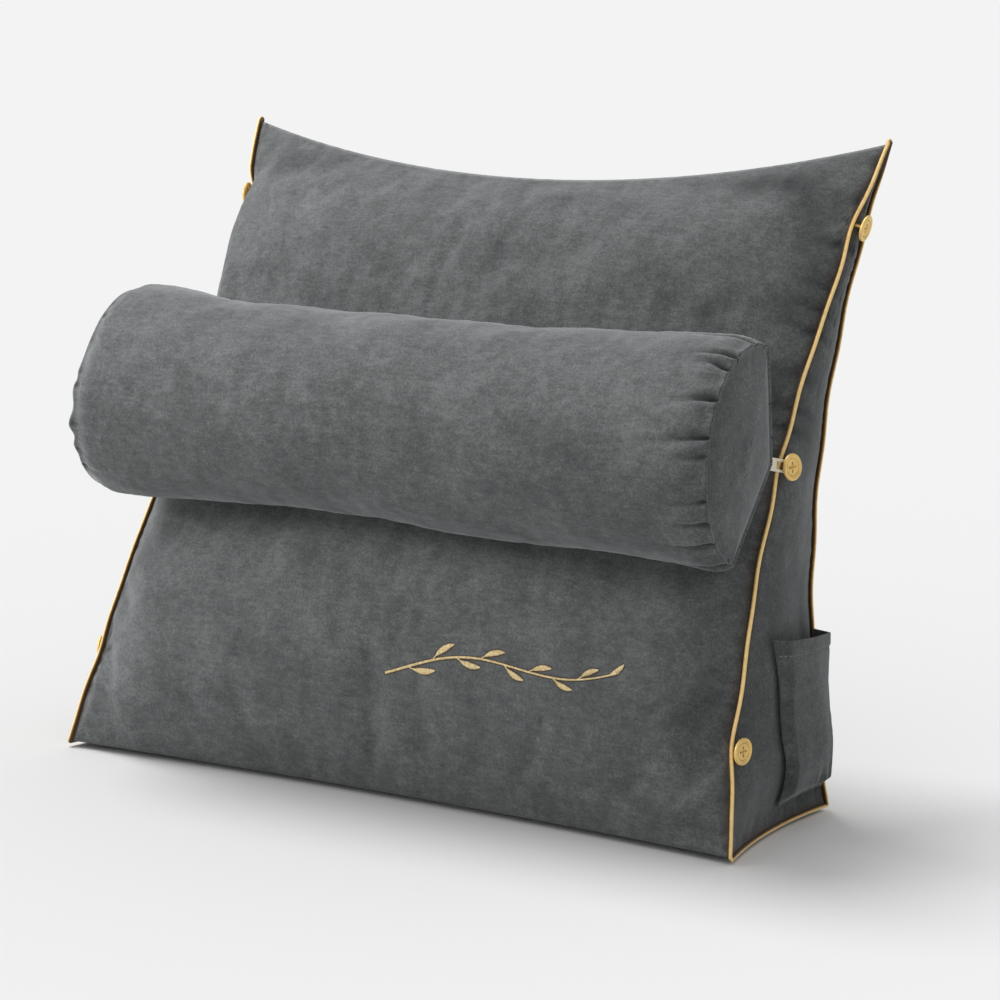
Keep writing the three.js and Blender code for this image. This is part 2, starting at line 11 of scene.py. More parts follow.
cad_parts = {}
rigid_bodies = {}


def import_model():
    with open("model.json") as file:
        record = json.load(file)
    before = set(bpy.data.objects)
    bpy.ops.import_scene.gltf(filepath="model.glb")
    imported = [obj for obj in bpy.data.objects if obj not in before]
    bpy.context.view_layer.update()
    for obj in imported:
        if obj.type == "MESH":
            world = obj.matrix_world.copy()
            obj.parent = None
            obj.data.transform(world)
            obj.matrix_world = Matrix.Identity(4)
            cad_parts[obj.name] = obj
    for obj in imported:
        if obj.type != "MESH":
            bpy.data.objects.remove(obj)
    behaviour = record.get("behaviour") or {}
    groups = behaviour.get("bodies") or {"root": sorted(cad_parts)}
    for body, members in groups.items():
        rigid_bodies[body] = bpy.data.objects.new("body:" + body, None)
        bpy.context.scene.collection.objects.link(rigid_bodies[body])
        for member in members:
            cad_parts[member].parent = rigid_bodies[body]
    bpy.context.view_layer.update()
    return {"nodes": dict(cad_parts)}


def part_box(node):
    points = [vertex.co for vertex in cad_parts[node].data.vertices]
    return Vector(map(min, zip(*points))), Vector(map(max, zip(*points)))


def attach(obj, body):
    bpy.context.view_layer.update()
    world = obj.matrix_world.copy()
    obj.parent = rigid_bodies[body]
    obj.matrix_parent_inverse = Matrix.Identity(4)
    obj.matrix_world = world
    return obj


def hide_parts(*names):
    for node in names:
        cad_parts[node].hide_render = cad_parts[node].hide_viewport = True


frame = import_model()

# The wedge cushion: front, back, bottom and two side panels of velvet, sewn together and stuffed with
# fibre. The seams keep the places that the pattern gives them, in millimetres, and the filling pushes
# each panel out between them.
MM = 0.001
WIDTH = 600
TOP_WIDTH = 583
BACK_WIDTH = 592
DEPTH = 160
HEIGHT = 487
TOP_BACK = 257
SIDE_DRAW = 17.3
LEFT_DRAW = 18
LEFT_DRAW_AT = 0.6
LEFT_DRAW_SPREAD = 0.3
ROLL_BACK = 10
ROLL_IN = 6
ROLL_FROM = 0.56
ROLL_TO = 0.86
ROLL_FADE = 0.07
ROLL_WIDTH = 0.035
ROLL_OUT = 8
ROLL_OUT_LEFT = 0.85
ROLL_OUT_FORWARDS = 0.53
FRONT_BOW = 26.2
BACK_BOW = 34
TOP_SAG = 34
TOP_SKEW = 0.1
TOP_LEAN = 47
FRONT_TUCK = 11.4
BACK_TUCK = 12
END_TUCK = 8
SEAM_WAVE = 0.6
BUTTON_PULL = 2.4
BUTTONS_AT = (0.8775, 0.5375, 0.145)
DIMPLE = 0.35
FRONT_CROWN = 28
BACK_CROWN = 40
SIDE_CROWN = 12
BASE_DROP = 5
RIM = 14
TROUGH = 26
TROUGH_AT = 0.56
TROUGH_SPREAD = 0.12
FRONT_Y = -DEPTH / 2


def arch(t):
    return 4 * t * (1 - t)


def bell(t):
    return np.exp(-t * t)


def swell(t):
    return 1 - 0.6 * np.abs(t) ** 4 - 0.4 * np.abs(t) ** 14


def fade_ends(t):
    return np.minimum(1, 4 * arch(t))


def smooth(t):
    t = np.clip(t, 0, 1)
    return t * t * (3 - 2 * t)


def half_width(v, side, bottom_width):
    """How far the seams of one side lie from the middle at height part v."""
    straight = bottom_width / 2 * (1 - v) + TOP_WIDTH / 2 * v
    uneven = LEFT_DRAW * fade_ends(v) * bell((v - LEFT_DRAW_AT) / LEFT_DRAW_SPREAD) if side < 0 else 0
    return straight - SIDE_DRAW * arch(v) - uneven


def roll(v, side):
    """How strongly the front panel rolls over its seam at height part v: on the left side only."""
    grown = smooth((v - ROLL_FROM) / ROLL_FADE)
    return grown * (1 - smooth((v - ROLL_TO) / ROLL_FADE)) if side < 0 else 0 * v


def front_seam(v, side):
    v = np.asarray(v, float)
    pull = sum(BUTTON_PULL * bell((v - at) / 0.04) for at in BUTTONS_AT)
    wave = SEAM_WAVE * fade_ends(v) * (np.sin(25 * v + side) + 0.5 * np.sin(53 * v + 2 * side))
    x = half_width(v, side, WIDTH) - pull * fade_ends(v) + wave - ROLL_IN * roll(v, side)
    y = FRONT_Y + TOP_BACK * v - FRONT_BOW * arch(v) + 0.5 * wave + ROLL_BACK * roll(v, side)
    return np.stack([side * x, y, BASE_DROP + HEIGHT * v], -1)


def back_seam(v, side):
    v = np.asarray(v, float)
    wave = SEAM_WAVE * fade_ends(v) * np.sin(43 * v + 3 * side)
    x = half_width(v, side, BACK_WIDTH) + wave
    y = FRONT_Y + DEPTH * (1 - v) + TOP_BACK * v - BACK_BOW * arch(v) + 0.5 * wave
    return np.stack([side * x, y, BASE_DROP + HEIGHT * v], -1)


def end_seam(w, side):
    w = np.asarray(w, float)
    corner = WIDTH / 2 * (1 - w) + BACK_WIDTH / 2 * w
    return np.stack([side * (corner - END_TUCK * arch(w)), FRONT_Y + DEPTH * w, BASE_DROP + 0 * w], -1)


def flat_panel(u, v, seam, tuck):
    """A front or back panel before it is filled: u runs from -1 to 1 across, v from 0 to 1 up."""
    part = ((u + 1) / 2)[..., None]
    point = seam(v, -1) * (1 - part) + seam(v, 1) * part
    inwards = 1 - u * u
    point[..., 1] += inwards * (tuck * (1 - v) - TOP_LEAN * v)
    point[..., 2] -= inwards * TOP_SAG * v * (1 + TOP_SKEW * u)
    return point


FRONT_NORMAL = np.array([0, -HEIGHT, TOP_BACK]) / math.hypot(HEIGHT, TOP_BACK)
BACK_NORMAL = np.array([0, HEIGHT, DEPTH - TOP_BACK]) / math.hypot(HEIGHT, DEPTH - TOP_BACK)


def front_panel(u, v):
    pressed = TROUGH * bell((v - TROUGH_AT) / TROUGH_SPREAD)
    dimples = sum(bell((1 - np.abs(u)) / 0.11) * bell((v - at) / 0.05) for at in BUTTONS_AT)
    crown = swell(u) * swell(2 * v - 1) * (FRONT_CROWN - pressed) * (1 - DIMPLE * dimples)
    point = flat_panel(u, v, front_seam, FRONT_TUCK) + crown[..., None] * FRONT_NORMAL
    from_edge = 1 + u
    only_at_edge = roll(v, -1) * (1 - smooth(from_edge / ROLL_WIDTH) - (1 - u) / 2)
    overhang = ROLL_OUT * roll(v, -1) * bell((from_edge - 1.1 * ROLL_WIDTH) / ROLL_WIDTH)
    overhang *= smooth(from_edge / 0.008)
    point[..., 1] += ROLL_BACK * only_at_edge - ROLL_OUT_FORWARDS * overhang
    point[..., 0] += ROLL_IN * only_at_edge - ROLL_OUT_LEFT * overhang
    return point


def back_panel(u, v):
    crown = BACK_CROWN * swell(u) * swell(2 * v - 1)
    return flat_panel(u, v, back_seam, -BACK_TUCK) + crown[..., None] * BACK_NORMAL


def side_panel(w, v, side):
    part = w[..., None]
    point = front_seam(v, side) * (1 - part) + back_seam(v, side) * part
    fullness = SIDE_CROWN * arch(w) * smooth(v / 0.12) * (1 - v) ** 0.8
    point[..., 0] += side * (fullness - END_TUCK * arch(w) * (1 - v) ** 6)
    return point


def base_panel(u, w):
    inwards = 1 - u * u
    x = u * np.abs(end_seam(w, 1)[..., 0])
    y = FRONT_Y + FRONT_TUCK * inwards * (1 - w) + (DEPTH - BACK_TUCK * inwards) * w
    edge = np.minimum(np.minimum((1 - np.abs(u)) * WIDTH / 2, w * DEPTH), (1 - w) * DEPTH)
    return np.stack([x, y, BASE_DROP * (1 - np.minimum(1, edge / RIM))], -1)


def panel(surface, across, up, flip, sewn="abcd"):
    """A grid of points over a panel, with its sewn edges marked: a and b are its first and last
    column, c and d its first and last row."""
    a, b = np.meshgrid(across, up)
    points = surface(a, b)
    seam = np.zeros(a.shape)
    for edge, cells in (("a", np.s_[:, 0]), ("b", np.s_[:, -1]), ("c", np.s_[0]), ("d", np.s_[-1])):
        if edge in sewn:
            seam[cells] = 1
    return points, seam, flip


def sewn_mesh(name, panels):
    """Joins panels that share their edges into one closed mesh. Its seams are sharp edges."""
    mesh = bpy.data.meshes.new(name)
    corners = []
    seams = []
    faces = []
    start = 0
    for points, seam, flip in panels:
        index = start + np.arange(seam.size).reshape(seam.shape)
        quads = np.stack([index[:-1, :-1], index[:-1, 1:], index[1:, 1:], index[1:, :-1]], -1)
        quads = quads.reshape(-1, 4)
        faces.append(quads[:, ::-1] if flip else quads)
        corners.append(points.reshape(-1, 3) * MM)
        seams.append(seam.ravel())
        start += seam.size
    mesh.from_pydata(np.concatenate(corners).tolist(), [], np.concatenate(faces).tolist())
    mark = mesh.attributes.new("seam", "FLOAT", "POINT")
    mark.data.foreach_set("value", np.concatenate(seams))
    shape = bmesh.new()
    shape.from_mesh(mesh)
    bmesh.ops.remove_doubles(shape, verts=shape.verts, dist=0.01 * MM)
    seam_layer = shape.verts.layers.float["seam"]
    crease = shape.edges.layers.float.new("crease_edge")
    for edge in shape.edges:
        edge[crease] = min(vert[seam_layer] for vert in edge.verts)
    shape.to_mesh(mesh)
    shape.free()
    mesh.shade_smooth()
    return mesh


def piece(name, mesh):
    made = bpy.data.objects.new(name, mesh)
    bpy.context.scene.collection.objects.link(made)
    return made


def points_of(mesh):
    points = np.empty(len(mesh.vertices) * 3)
    mesh.vertices.foreach_get("co", points)
    return points.reshape(-1, 3)


def normals_of(mesh):
    normals = np.empty(len(mesh.vertices) * 3)
    mesh.vertex_normals.foreach_get("vector", normals)
    return normals.reshape(-1, 3)


def place(mesh, points):
    mesh.vertices.foreach_set("co", np.ascontiguousarray(points).ravel())
    mesh.update()


def values_of(mesh, name):
    values = np.empty(len(mesh.vertices))
    mesh.attributes[name].data.foreach_get("value", values)
    return values


def mark(mesh, name, values):
    """Stores a number from 0 to 1 at each vertex, for a material to read."""
    stored = mesh.attributes.new(name, "FLOAT", "POINT")
    stored.data.foreach_set("value", np.clip(values, 0, 1))


def dress(mesh, material):
    mesh.materials.clear()
    mesh.materials.append(material)


def finished(made):
    """Turns what the modifiers make of a piece into its plain mesh."""
    graph = bpy.context.evaluated_depsgraph_get()
    mesh = bpy.data.meshes.new_from_object(made.evaluated_get(graph))
    made.modifiers.clear()
    made.data = mesh
    return mesh


FILLING_STEPS = 20


def fill(made, held, pressure, slack, most):
    """Lets a filling press the cloth out between the vertices that are held: held runs from 0 to 1, slack
    is the spare cloth as a part of its length, and most is how far a point may move."""
    group = made.vertex_groups.new(name="held")
    for weight in np.unique(np.round(held, 1)):
        members = np.flatnonzero(np.round(held, 1) == weight)
        group.add(members.tolist(), float(weight), "REPLACE")
    cloth = made.modifiers.new("filling", "CLOTH")
    for key, value in {
            "quality": 6, "mass": 0.15, "tension_stiffness": 15, "compression_stiffness": 15,
            "shear_stiffness": 5, "bending_stiffness": 0.4, "vertex_group_mass": "held",
            "shrink_min": -slack, "use_pressure": True, "uniform_pressure_force": pressure}.items():
        setattr(cloth.settings, key, value)
    cloth.settings.effector_weights.gravity = 0
    cloth.collision_settings.use_collision = False
    cloth.point_cache.frame_start = 1
    cloth.point_cache.frame_end = FILLING_STEPS
    for step in range(FILLING_STEPS):
        bpy.context.scene.frame_set(step + 1)
    before = points_of(made.data)
    graph = bpy.context.evaluated_depsgraph_get()
    filled = made.evaluated_get(graph).to_mesh()
    moved = points_of(filled) - before
    made.modifiers.clear()
    made.vertex_groups.clear()
    bpy.context.scene.frame_set(1)
    length = np.linalg.norm(moved, axis=1)
    capped = moved * np.minimum(1, most / np.maximum(length, 1e-9))[:, None]
    place(made.data, before + capped)


def refined(made):
    """Halves the mesh, and keeps its seams sharp."""
    halved = made.modifiers.new("halved", "SUBSURF")
    halved.levels = 1
    halved.render_levels = 1
    return finished(made)


def lumps(points, size, seed):
    """Soft unevenness of about one size, from -1 to 1."""
    random = np.random.default_rng(seed)
    total = 0
    for _ in range(7):
        way = random.normal(size=3)
        way *= 2 * math.pi / size / np.linalg.norm(way) * random.uniform(0.75, 1.3)
        total = total + np.sin(points @ way + random.uniform(0, 2 * math.pi))
    return total / 4


def seam_tree(line):
    tree = KDTree(len(line))
    for i, point in enumerate(line):
        tree.insert(point, i)
    tree.balance()
    return tree


def nearest(tree, points):
    """For each point, the place along the line nearest to it and how far off that is."""
    found = [tree.find(point)[1:] for point in points]
    return np.array([i for i, _ in found]), np.array([d for _, d in found])


CELL = 6.6
across = np.linspace(-1, 1, round(WIDTH / CELL) + 1)
across = np.sort(np.append(across, [-0.993, -0.985, -0.967, 0.993, 0.985]))
up = np.linspace(0, 1, round(1.12 * HEIGHT / CELL) + 1)
backwards = np.linspace(0, 1, round(DEPTH / CELL) + 1)
wedge = piece("wedge_cover", sewn_mesh("wedge_cover", [
    panel(front_panel, across, up, False),
    panel(back_panel, across, up, True),
    panel(base_panel, across, backwards, True),
    panel(lambda w, v: side_panel(w, v, 1), backwards, up, False),
    panel(lambda w, v: side_panel(w, v, -1), backwards, up, True),
]))
start_points = points_of(wedge.data)
on_floor = start_points[:, 2] < BASE_DROP * MM * 0.99
height_part = (start_points[:, 2] / MM - BASE_DROP) / HEIGHT
in_front = start_points[:, 1] < 0.4 * DEPTH * MM + height_part * (TOP_BACK - DEPTH / 2) * MM
pressed = np.where(in_front, bell((height_part - TROUGH_AT) / 0.15), 0)
seam_x = np.where(
    start_points[:, 0] < 0, half_width(height_part, -1, WIDTH), half_width(height_part, 1, WIDTH))
on_side = np.abs(start_points[:, 0]) > seam_x * MM * 0.985
held = np.maximum(np.maximum(values_of(wedge.data, "seam"), on_floor), 0.9 * pressed)
fill(wedge, np.maximum(held, 0.8 * on_side), pressure=4, slack=0.012, most=9 * MM)
wedge_mesh = refined(wedge)

FINE = 301
fine = np.linspace(0, 1, FINE)
seam_lines = [seam(fine, side) for side in (1, -1) for seam in (front_seam, back_seam, end_seam)]
for v, seam, tuck in ((1, front_seam, FRONT_TUCK), (0, front_seam, FRONT_TUCK), (0, back_seam, -BACK_TUCK)):
    seam_lines.append(flat_panel(2 * fine - 1, np.full(FINE, float(v)), seam, tuck))
seam_points = np.concatenate(seam_lines)
steps = np.linalg.norm(np.diff(seam_points, axis=0, prepend=seam_points[:1]), axis=1)
seam_length = np.cumsum(np.minimum(steps, 4))

# Puckers run off each seam, most of them off the upper right one, the filling is a little lumpy, and
# the front is drawn in around each button
PUCKER = 0.55
WIDE_PUCKER = 1.5
PUCKERED_FROM = 210
PUCKERED_TO = 495
BUTTON_CREASE = 0.8
CREASES = 9
points = points_of(wedge_mesh) / MM
place_along, off = nearest(seam_tree(seam_points), points)
s = seam_length[place_along]
upper_right = (place_along < FINE) * smooth((points[:, 2] - PUCKERED_FROM) / 120)
upper_right = upper_right * smooth((PUCKERED_TO - points[:, 2]) / 60)
pucker = np.sin(s / 2.1 + 2.2 * np.sin(s / 9.0)) * (0.55 + 0.45 * np.sin(s / 17.0 + 1))
reach = 11 + 6 * np.sin(s / 29.0)
puckered = PUCKER * pucker * smooth(off / 2.5) * np.exp(-off / reach)
wide_pucker = np.minimum(0, np.sin(s / 3.9 + 1.7 * np.sin(s / 13.0)) + 0.25)
wide_reach = 26 + 9 * np.sin(s / 21.0)
puckered += WIDE_PUCKER * upper_right * wide_pucker * smooth(off / 3) * np.exp(-off / wide_reach)
lumpy = 1.3 * lumps(points, 95, 3) + 0.5 * lumps(points, 38, 4)
raised = puckered + lumpy * smooth(off / 30)
for at in BUTTONS_AT:
    for side in (1, -1):
        from_button = points - front_seam(at, side)
        away = np.linalg.norm(from_button, axis=1)
        spoke = np.arctan2(from_button[:, 2], -side * from_button[:, 0])
        creases = np.minimum(0, np.sin(CREASES * spoke + 3 * at))
        raised += BUTTON_CREASE * creases * smooth(away / 8) * np.exp(-away / 17)
raised *= smooth((points[:, 2] - 1) / 12)
place(wedge_mesh, (points + raised[:, None] * normals_of(wedge_mesh)) * MM)

# Painted shade: the velvet is coloured brown along the piped seams as the shadow in their grooves, over
# these reaches: the right front, back and bottom one, then the left ones
SEAM_SHADE_REACHES = [4.6, 1.8, 2.6, 2.4, 1.8, 2.6]
UP_AND_LEFT = np.array([-0.35, -0.35, 0.87])
seam_shade_reach = np.ones(len(seam_points))
seam_shade_reach[:len(SEAM_SHADE_REACHES) * FINE] = np.repeat(SEAM_SHADE_REACHES, FINE)
seam_shade_reach = seam_shade_reach[place_along]
mark(wedge_mesh, "painted_seam_shade", (seam_shade_reach > 1) * np.exp(-(off / seam_shade_reach) ** 2))
# Painted shade: darker in the valleys of the puckers and the creases round the buttons
mark(wedge_mesh, "painted_crease_shade", 1.3 * np.maximum(0, -raised) * smooth(off / 3) * np.exp(-off / 30))
# Painted light: lighter where the surface faces up and to the left, towards the light
mark(wedge_mesh, "painted_light_up_left", smooth(normals_of(wedge_mesh) @ UP_AND_LEFT))


class Part:
    """An output of a node. An expression on it adds the Math nodes that it needs."""

    def __init__(self, nodes, socket):
        self.nodes = nodes
        self.socket = socket

    def maths(self, operation, *values):
        return self.nodes.node("ShaderNodeMath", {"operation": operation}, dict(enumerate(values)))

    def __add__(self, other):
        return self.maths("ADD", self, other)

    def __sub__(self, other):
        return self.maths("SUBTRACT", self, other)

    def __rsub__(self, other):
        return self.maths("SUBTRACT", other, self)

    def __mul__(self, other):
        return self.maths("MULTIPLY", self, other)

    def __pow__(self, other):
        return self.maths("POWER", self, other)

    __radd__ = __add__
    __rmul__ = __mul__

    def wave(self):
        return self.maths("SINE", self)


class Nodes:
    """The nodes of a material or of a Geometry Nodes group."""

    def __init__(self, tree):
        self.tree = tree

    def node(self, kind, settings=None, inputs=None, out=0):
        """Adds a node: its settings first, then the values or links of its inputs."""
        made = self.tree.nodes.new(kind)
        for key, value in (settings or {}).items():
            setattr(made, key, value)
        for key, value in (inputs or {}).items():
            self.feed(made.inputs[key], value)
        return Part(self, made.outputs[out])

    def feed(self, socket, value):
        if isinstance(value, Part):
            self.tree.links.new(value.socket, socket)
        else:
            socket.default_value = value


class Finish(Nodes):
    """A material, made on its main shader."""

    def __init__(self, name, **fixed):
        self.material = bpy.data.materials.new(name)
        self.material.use_nodes = True
        super().__init__(self.material.node_tree)
        self.shader = self.tree.nodes["Principled BSDF"]
        for key, value in fixed.items():
            self.feed(self.shader.inputs[key.replace("_", " ").title().replace("Ior", "IOR")], value)

    def place(self):
        return self.node("ShaderNodeTexCoord", {}, {}, "Object")

    def stored(self, name):
        return self.node("ShaderNodeAttribute", {"attribute_name": name}, {}, "Fac")

    def noise(self, at, scale, detail=3, roughness=0.5, stretch=None):
        if stretch:
            at = self.node("ShaderNodeMapping", {}, {"Vector": at, "Scale": stretch})
        return self.node("ShaderNodeTexNoise", {}, {
            "Vector": at, "Scale": scale, "Detail": detail, "Roughness": roughness})

    def bump(self, height, depth, strength=1):
        bumped = self.node("ShaderNodeBump", {}, {"Height": height, "Distance": depth, "Strength": strength})
        self.feed(self.shader.inputs["Normal"], bumped)

    def ramp(self, value, *stops):
        """Turns a number into a colour, from pairs of a number and its colour."""
        made = self.node("ShaderNodeValToRGB", {}, {"Fac": value})
        elements = made.socket.node.color_ramp.elements
        while len(elements) < len(stops):
            elements.new(1)
        for element, (number, colour) in zip(elements, stops):
            element.position = number
            element.color = (*colour, 1)
        return made

    def mixed(self, share, colour, other):
        return self.node("ShaderNodeMix", {"data_type": "RGBA"}, {0: share, 6: colour, 7: (*other, 1)}, 2)

    def colour(self, value):
        self.feed(self.shader.inputs["Base Color"], value)


def velvet_finish():
    """Short slate grey pile, brushed into cloudy patches of lighter and darker pile. Painted light makes it
    lighter where it faces up and to the left; painted shade makes it brown beside the gold piping and darker
    in creases."""
    velvet = Finish("slate_velvet", roughness=0.92, sheen_weight=0.4, sheen_roughness=0.42,
                    sheen_tint=(0.86, 0.88, 0.9, 1), specular_ior_level=0.15)
    at = velvet.place()
    patches = velvet.noise(at, 26, 5, 0.62)
    mottle = velvet.noise(at, 120, 5, 0.75)
    brushed = velvet.noise(at, 380, 3, 0.6, (0.25, 1, 1))
    grain = velvet.noise(at, 620, 3, 0.75)
    painted_light_up_left = velvet.stored("painted_light_up_left")
    # Random patches of pile, with painted light where the surface faces up and to the left
    nap_and_painted_light = patches * 0.5 + mottle * 0.52 + brushed * 0.34 + grain * 0.8 + painted_light_up_left * 0.12 - 0.62
    colour = velvet.ramp(
        nap_and_painted_light, (0.26, (0.05, 0.053, 0.054)), (0.5, (0.088, 0.092, 0.093)), (0.76, (0.15, 0.156, 0.157)))
    # Painted shade: brown beside the piping, as the shadow in the seam grooves
    colour = velvet.mixed(velvet.stored("painted_seam_shade") * 0.7, colour, (0.06, 0.036, 0.015))
    # Painted shade: darker in the creases and the pleats
    velvet.colour(velvet.mixed(velvet.stored("painted_crease_shade") * 0.75, colour, (0.018, 0.019, 0.02)))
    velvet.bump(mottle * 0.5 + brushed * 0.5 + grain * 0.6, 0.0006, 0.55)
    return velvet.material


velvet = velvet_finish()
dress(wedge_mesh, velvet)
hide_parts("wedge_cushion")
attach(wedge, "root")

# The neck bolster: a velvet tube gathered into an end panel on each side and stuffed firmly. It hangs
# by a loop at the back of each end, which draws the round section out to a point there.
BOLSTER_HALF = 286
BOLSTER_TALL = 77.5
BOLSTER_DEEP = 63.6
BOLSTER_FLARE = 9
BOLSTER_TILT = math.radians(18.3)
BOLSTER_END = np.array([-27, 287])
BOLSTER_MIDDLE = np.array([-36.5, 287])
BOLSTER_DIP = 3
LEFT_END_DRAW = 11
LEFT_END_LEAN = 3
BOLSTER_POINT = 34
DRAWN_LENGTH = 110
PLEATS = 22
PLEATS_UNEVEN = 0.24
PLEAT_DEPTH = 6
GATHER = 0.35
LEFT_PLEATS = 0.35
FOLD_DEPTH = 4.6
PUFF_HEIGHT = 1.5
SECTION_RADIUS = 72
SOFT_CONTACT = 5
CONTACT_GAP = 0.7
FRILL = 6
FRILL_AT = 2.05


def front_y(x, z):
    """The y of the front panel in front of points of the x, z plane."""
    v = np.clip((z - BASE_DROP) / HEIGHT, 0, 1)
    for _ in range(10):
        half = np.where(x < 0, half_width(v, -1, WIDTH), half_width(v, 1, WIDTH))
        u = np.clip(x / half, -1, 1)
        v = np.clip(v + (z - front_panel(u, v)[..., 2]) / HEIGHT, 0, 1)
    return front_panel(u, v)[..., 1]


def pleat_angle(k):
    place_around = 2 * math.pi * (k + PLEATS_UNEVEN * np.sin(2.4 * k + 1)) / PLEATS
    first = 2 * math.pi * PLEATS_UNEVEN * math.sin(1) / PLEATS
    return -math.pi / 2 + place_around - first


def around_angle(turn):
    """The angle around the section, where turn counts pleats and their parts from the back point."""
    k = np.floor(turn)
    following = np.where(k + 1 < PLEATS, pleat_angle(k + 1), pleat_angle(0) + 2 * math.pi)
    return pleat_angle(k) + (turn - k) * (following - pleat_angle(k))


def bolster_centre(t):
    middle = (1 - t * t)[..., None]
    yz = BOLSTER_END + (BOLSTER_MIDDLE - BOLSTER_END) * middle
    return np.stack([t * BOLSTER_HALF, yz[..., 0], yz[..., 1] - BOLSTER_DIP * t], -1)


def bolster_skin(turn, x):
    turn = np.mod(turn, PLEATS)
    angle = around_angle(turn)
    t = x / BOLSTER_HALF
    side = np.where(x < 0, -1, 1)
    from_end = BOLSTER_HALF - np.abs(x)
    pleat = np.floor(turn + 0.5)
    beside = turn - pleat
    in_front = np.where(np.sin(angle) > -0.2, 1, 0.4)
    spread = 0.1 + 0.006 * from_end
    valley = bell(beside / spread)
    depth = PLEAT_DEPTH * (0.8 + 0.35 * np.sin(3.1 * pleat + side)) * in_front
    length = 20 + 9 * np.sin(1.7 * np.mod(pleat, PLEATS) + 2 * side)
    gather = GATHER * depth * valley * (1 - np.exp(-from_end / 2.5)) * np.exp(-from_end / length)
    rounding = np.where(side < 0, 4 * bell(from_end / 30) * np.maximum(0, np.cos(angle)), 0)
    drawn_in = 6 * bell(from_end / 12) + gather + rounding
    uneven = 1.2 * np.sin(2 * angle + 5 * t) + 0.9 * np.sin(3 * angle - 7 * t)
    size = uneven - drawn_in + BOLSTER_FLARE * t * t
    along = (BOLSTER_TALL + size) * np.cos(angle)
    whole = (BOLSTER_DEEP + size) * np.sin(angle)
    pointed = -BOLSTER_POINT * (1 - np.abs(np.cos(angle)))
    drawn = smooth(1 - from_end / DRAWN_LENGTH)
    deep = np.where(whole < 0, whole * (1 - drawn) + pointed * drawn, whole)
    centre = bolster_centre(t)
    y = centre[..., 1] + along * math.sin(BOLSTER_TILT) - deep * math.cos(BOLSTER_TILT)
    z = centre[..., 2] + along * math.cos(BOLSTER_TILT) + deep * math.sin(BOLSTER_TILT)
    draw = LEFT_END_DRAW / 2 * (1 + np.sin(angle)) + LEFT_END_LEAN * np.cos(angle)
    frill = bell((angle - FRILL_AT) / 0.36) * (0.6 + 0.4 * np.cos(2 * math.pi * beside))
    frill = frill * np.exp(-from_end / 7)
    lean = np.where(side < 0, draw * np.abs(t) ** 8 - FRILL * frill, 0)
    return against_wedge(np.stack([x + lean, y, z], -1))


def against_wedge(points):
    """Keeps bolster points in front of the wedge, flattening softly as they come near."""
    room = front_y(points[..., 0], points[..., 2]) - CONTACT_GAP - points[..., 1]
    points = points.copy()
    points[..., 1] += room - (room + np.hypot(room, SOFT_CONTACT)) / 2
    return points


def bolster_end(turn, part, side):
    rim = bolster_skin(turn, np.full(turn.shape, side * BOLSTER_HALF))
    middle = bolster_centre(np.array(float(side))) - [0, BOLSTER_DEEP / 4, 0]
    point = middle + (rim - middle) * part[..., None]
    point[..., 0] += side * np.where(part < 1, 4 * (1 - part ** 2) - 2 * bell((1 - part) / 0.12), 0)
    return point


turns = np.linspace(0, PLEATS, PLEATS * 10 + 1)
near_end = np.cumsum(np.concatenate([[0], np.full(11, 3), np.linspace(3.2, 9, 12), np.full(20, 9)]))
near_end = np.append(near_end[near_end < BOLSTER_HALF - 5], BOLSTER_HALF)
lengthwise = np.concatenate([near_end - BOLSTER_HALF, (BOLSTER_HALF - near_end[:-1])[::-1]])
inwards = np.array([1, 0.96, 0.9, 0.8, 0.68, 0.54, 0.4, 0.2, 0])
bolster = piece("bolster_cover", sewn_mesh("bolster_cover", [
    panel(bolster_skin, turns, lengthwise, False, "cd"),
    panel(lambda turn, part: bolster_end(turn, part, 1), turns, inwards, False, "c"),
    panel(lambda turn, part: bolster_end(turn, part, -1), turns, inwards, True, "c"),
]))
start_points = points_of(bolster.data)
room = (front_y(start_points[:, 0] / MM, start_points[:, 2] / MM) * MM - start_points[:, 1]) / MM
touching = np.maximum(values_of(bolster.data, "seam"), smooth(1.5 - room / 10))
fill(bolster, np.maximum(touching, 0.4), pressure=2, slack=0.006, most=3 * MM)
bolster_mesh = refined(bolster)
wedge_tree = BVHTree.FromObject(wedge, bpy.context.evaluated_depsgraph_get())
points = points_of(bolster_mesh)
from_end = BOLSTER_HALF - np.abs(points[:, 0]) / MM
soft = 1.2 * lumps(points / MM, 70, 8) + 0.5 * lumps(points / MM * [0.6, 1, 1], 26, 9)

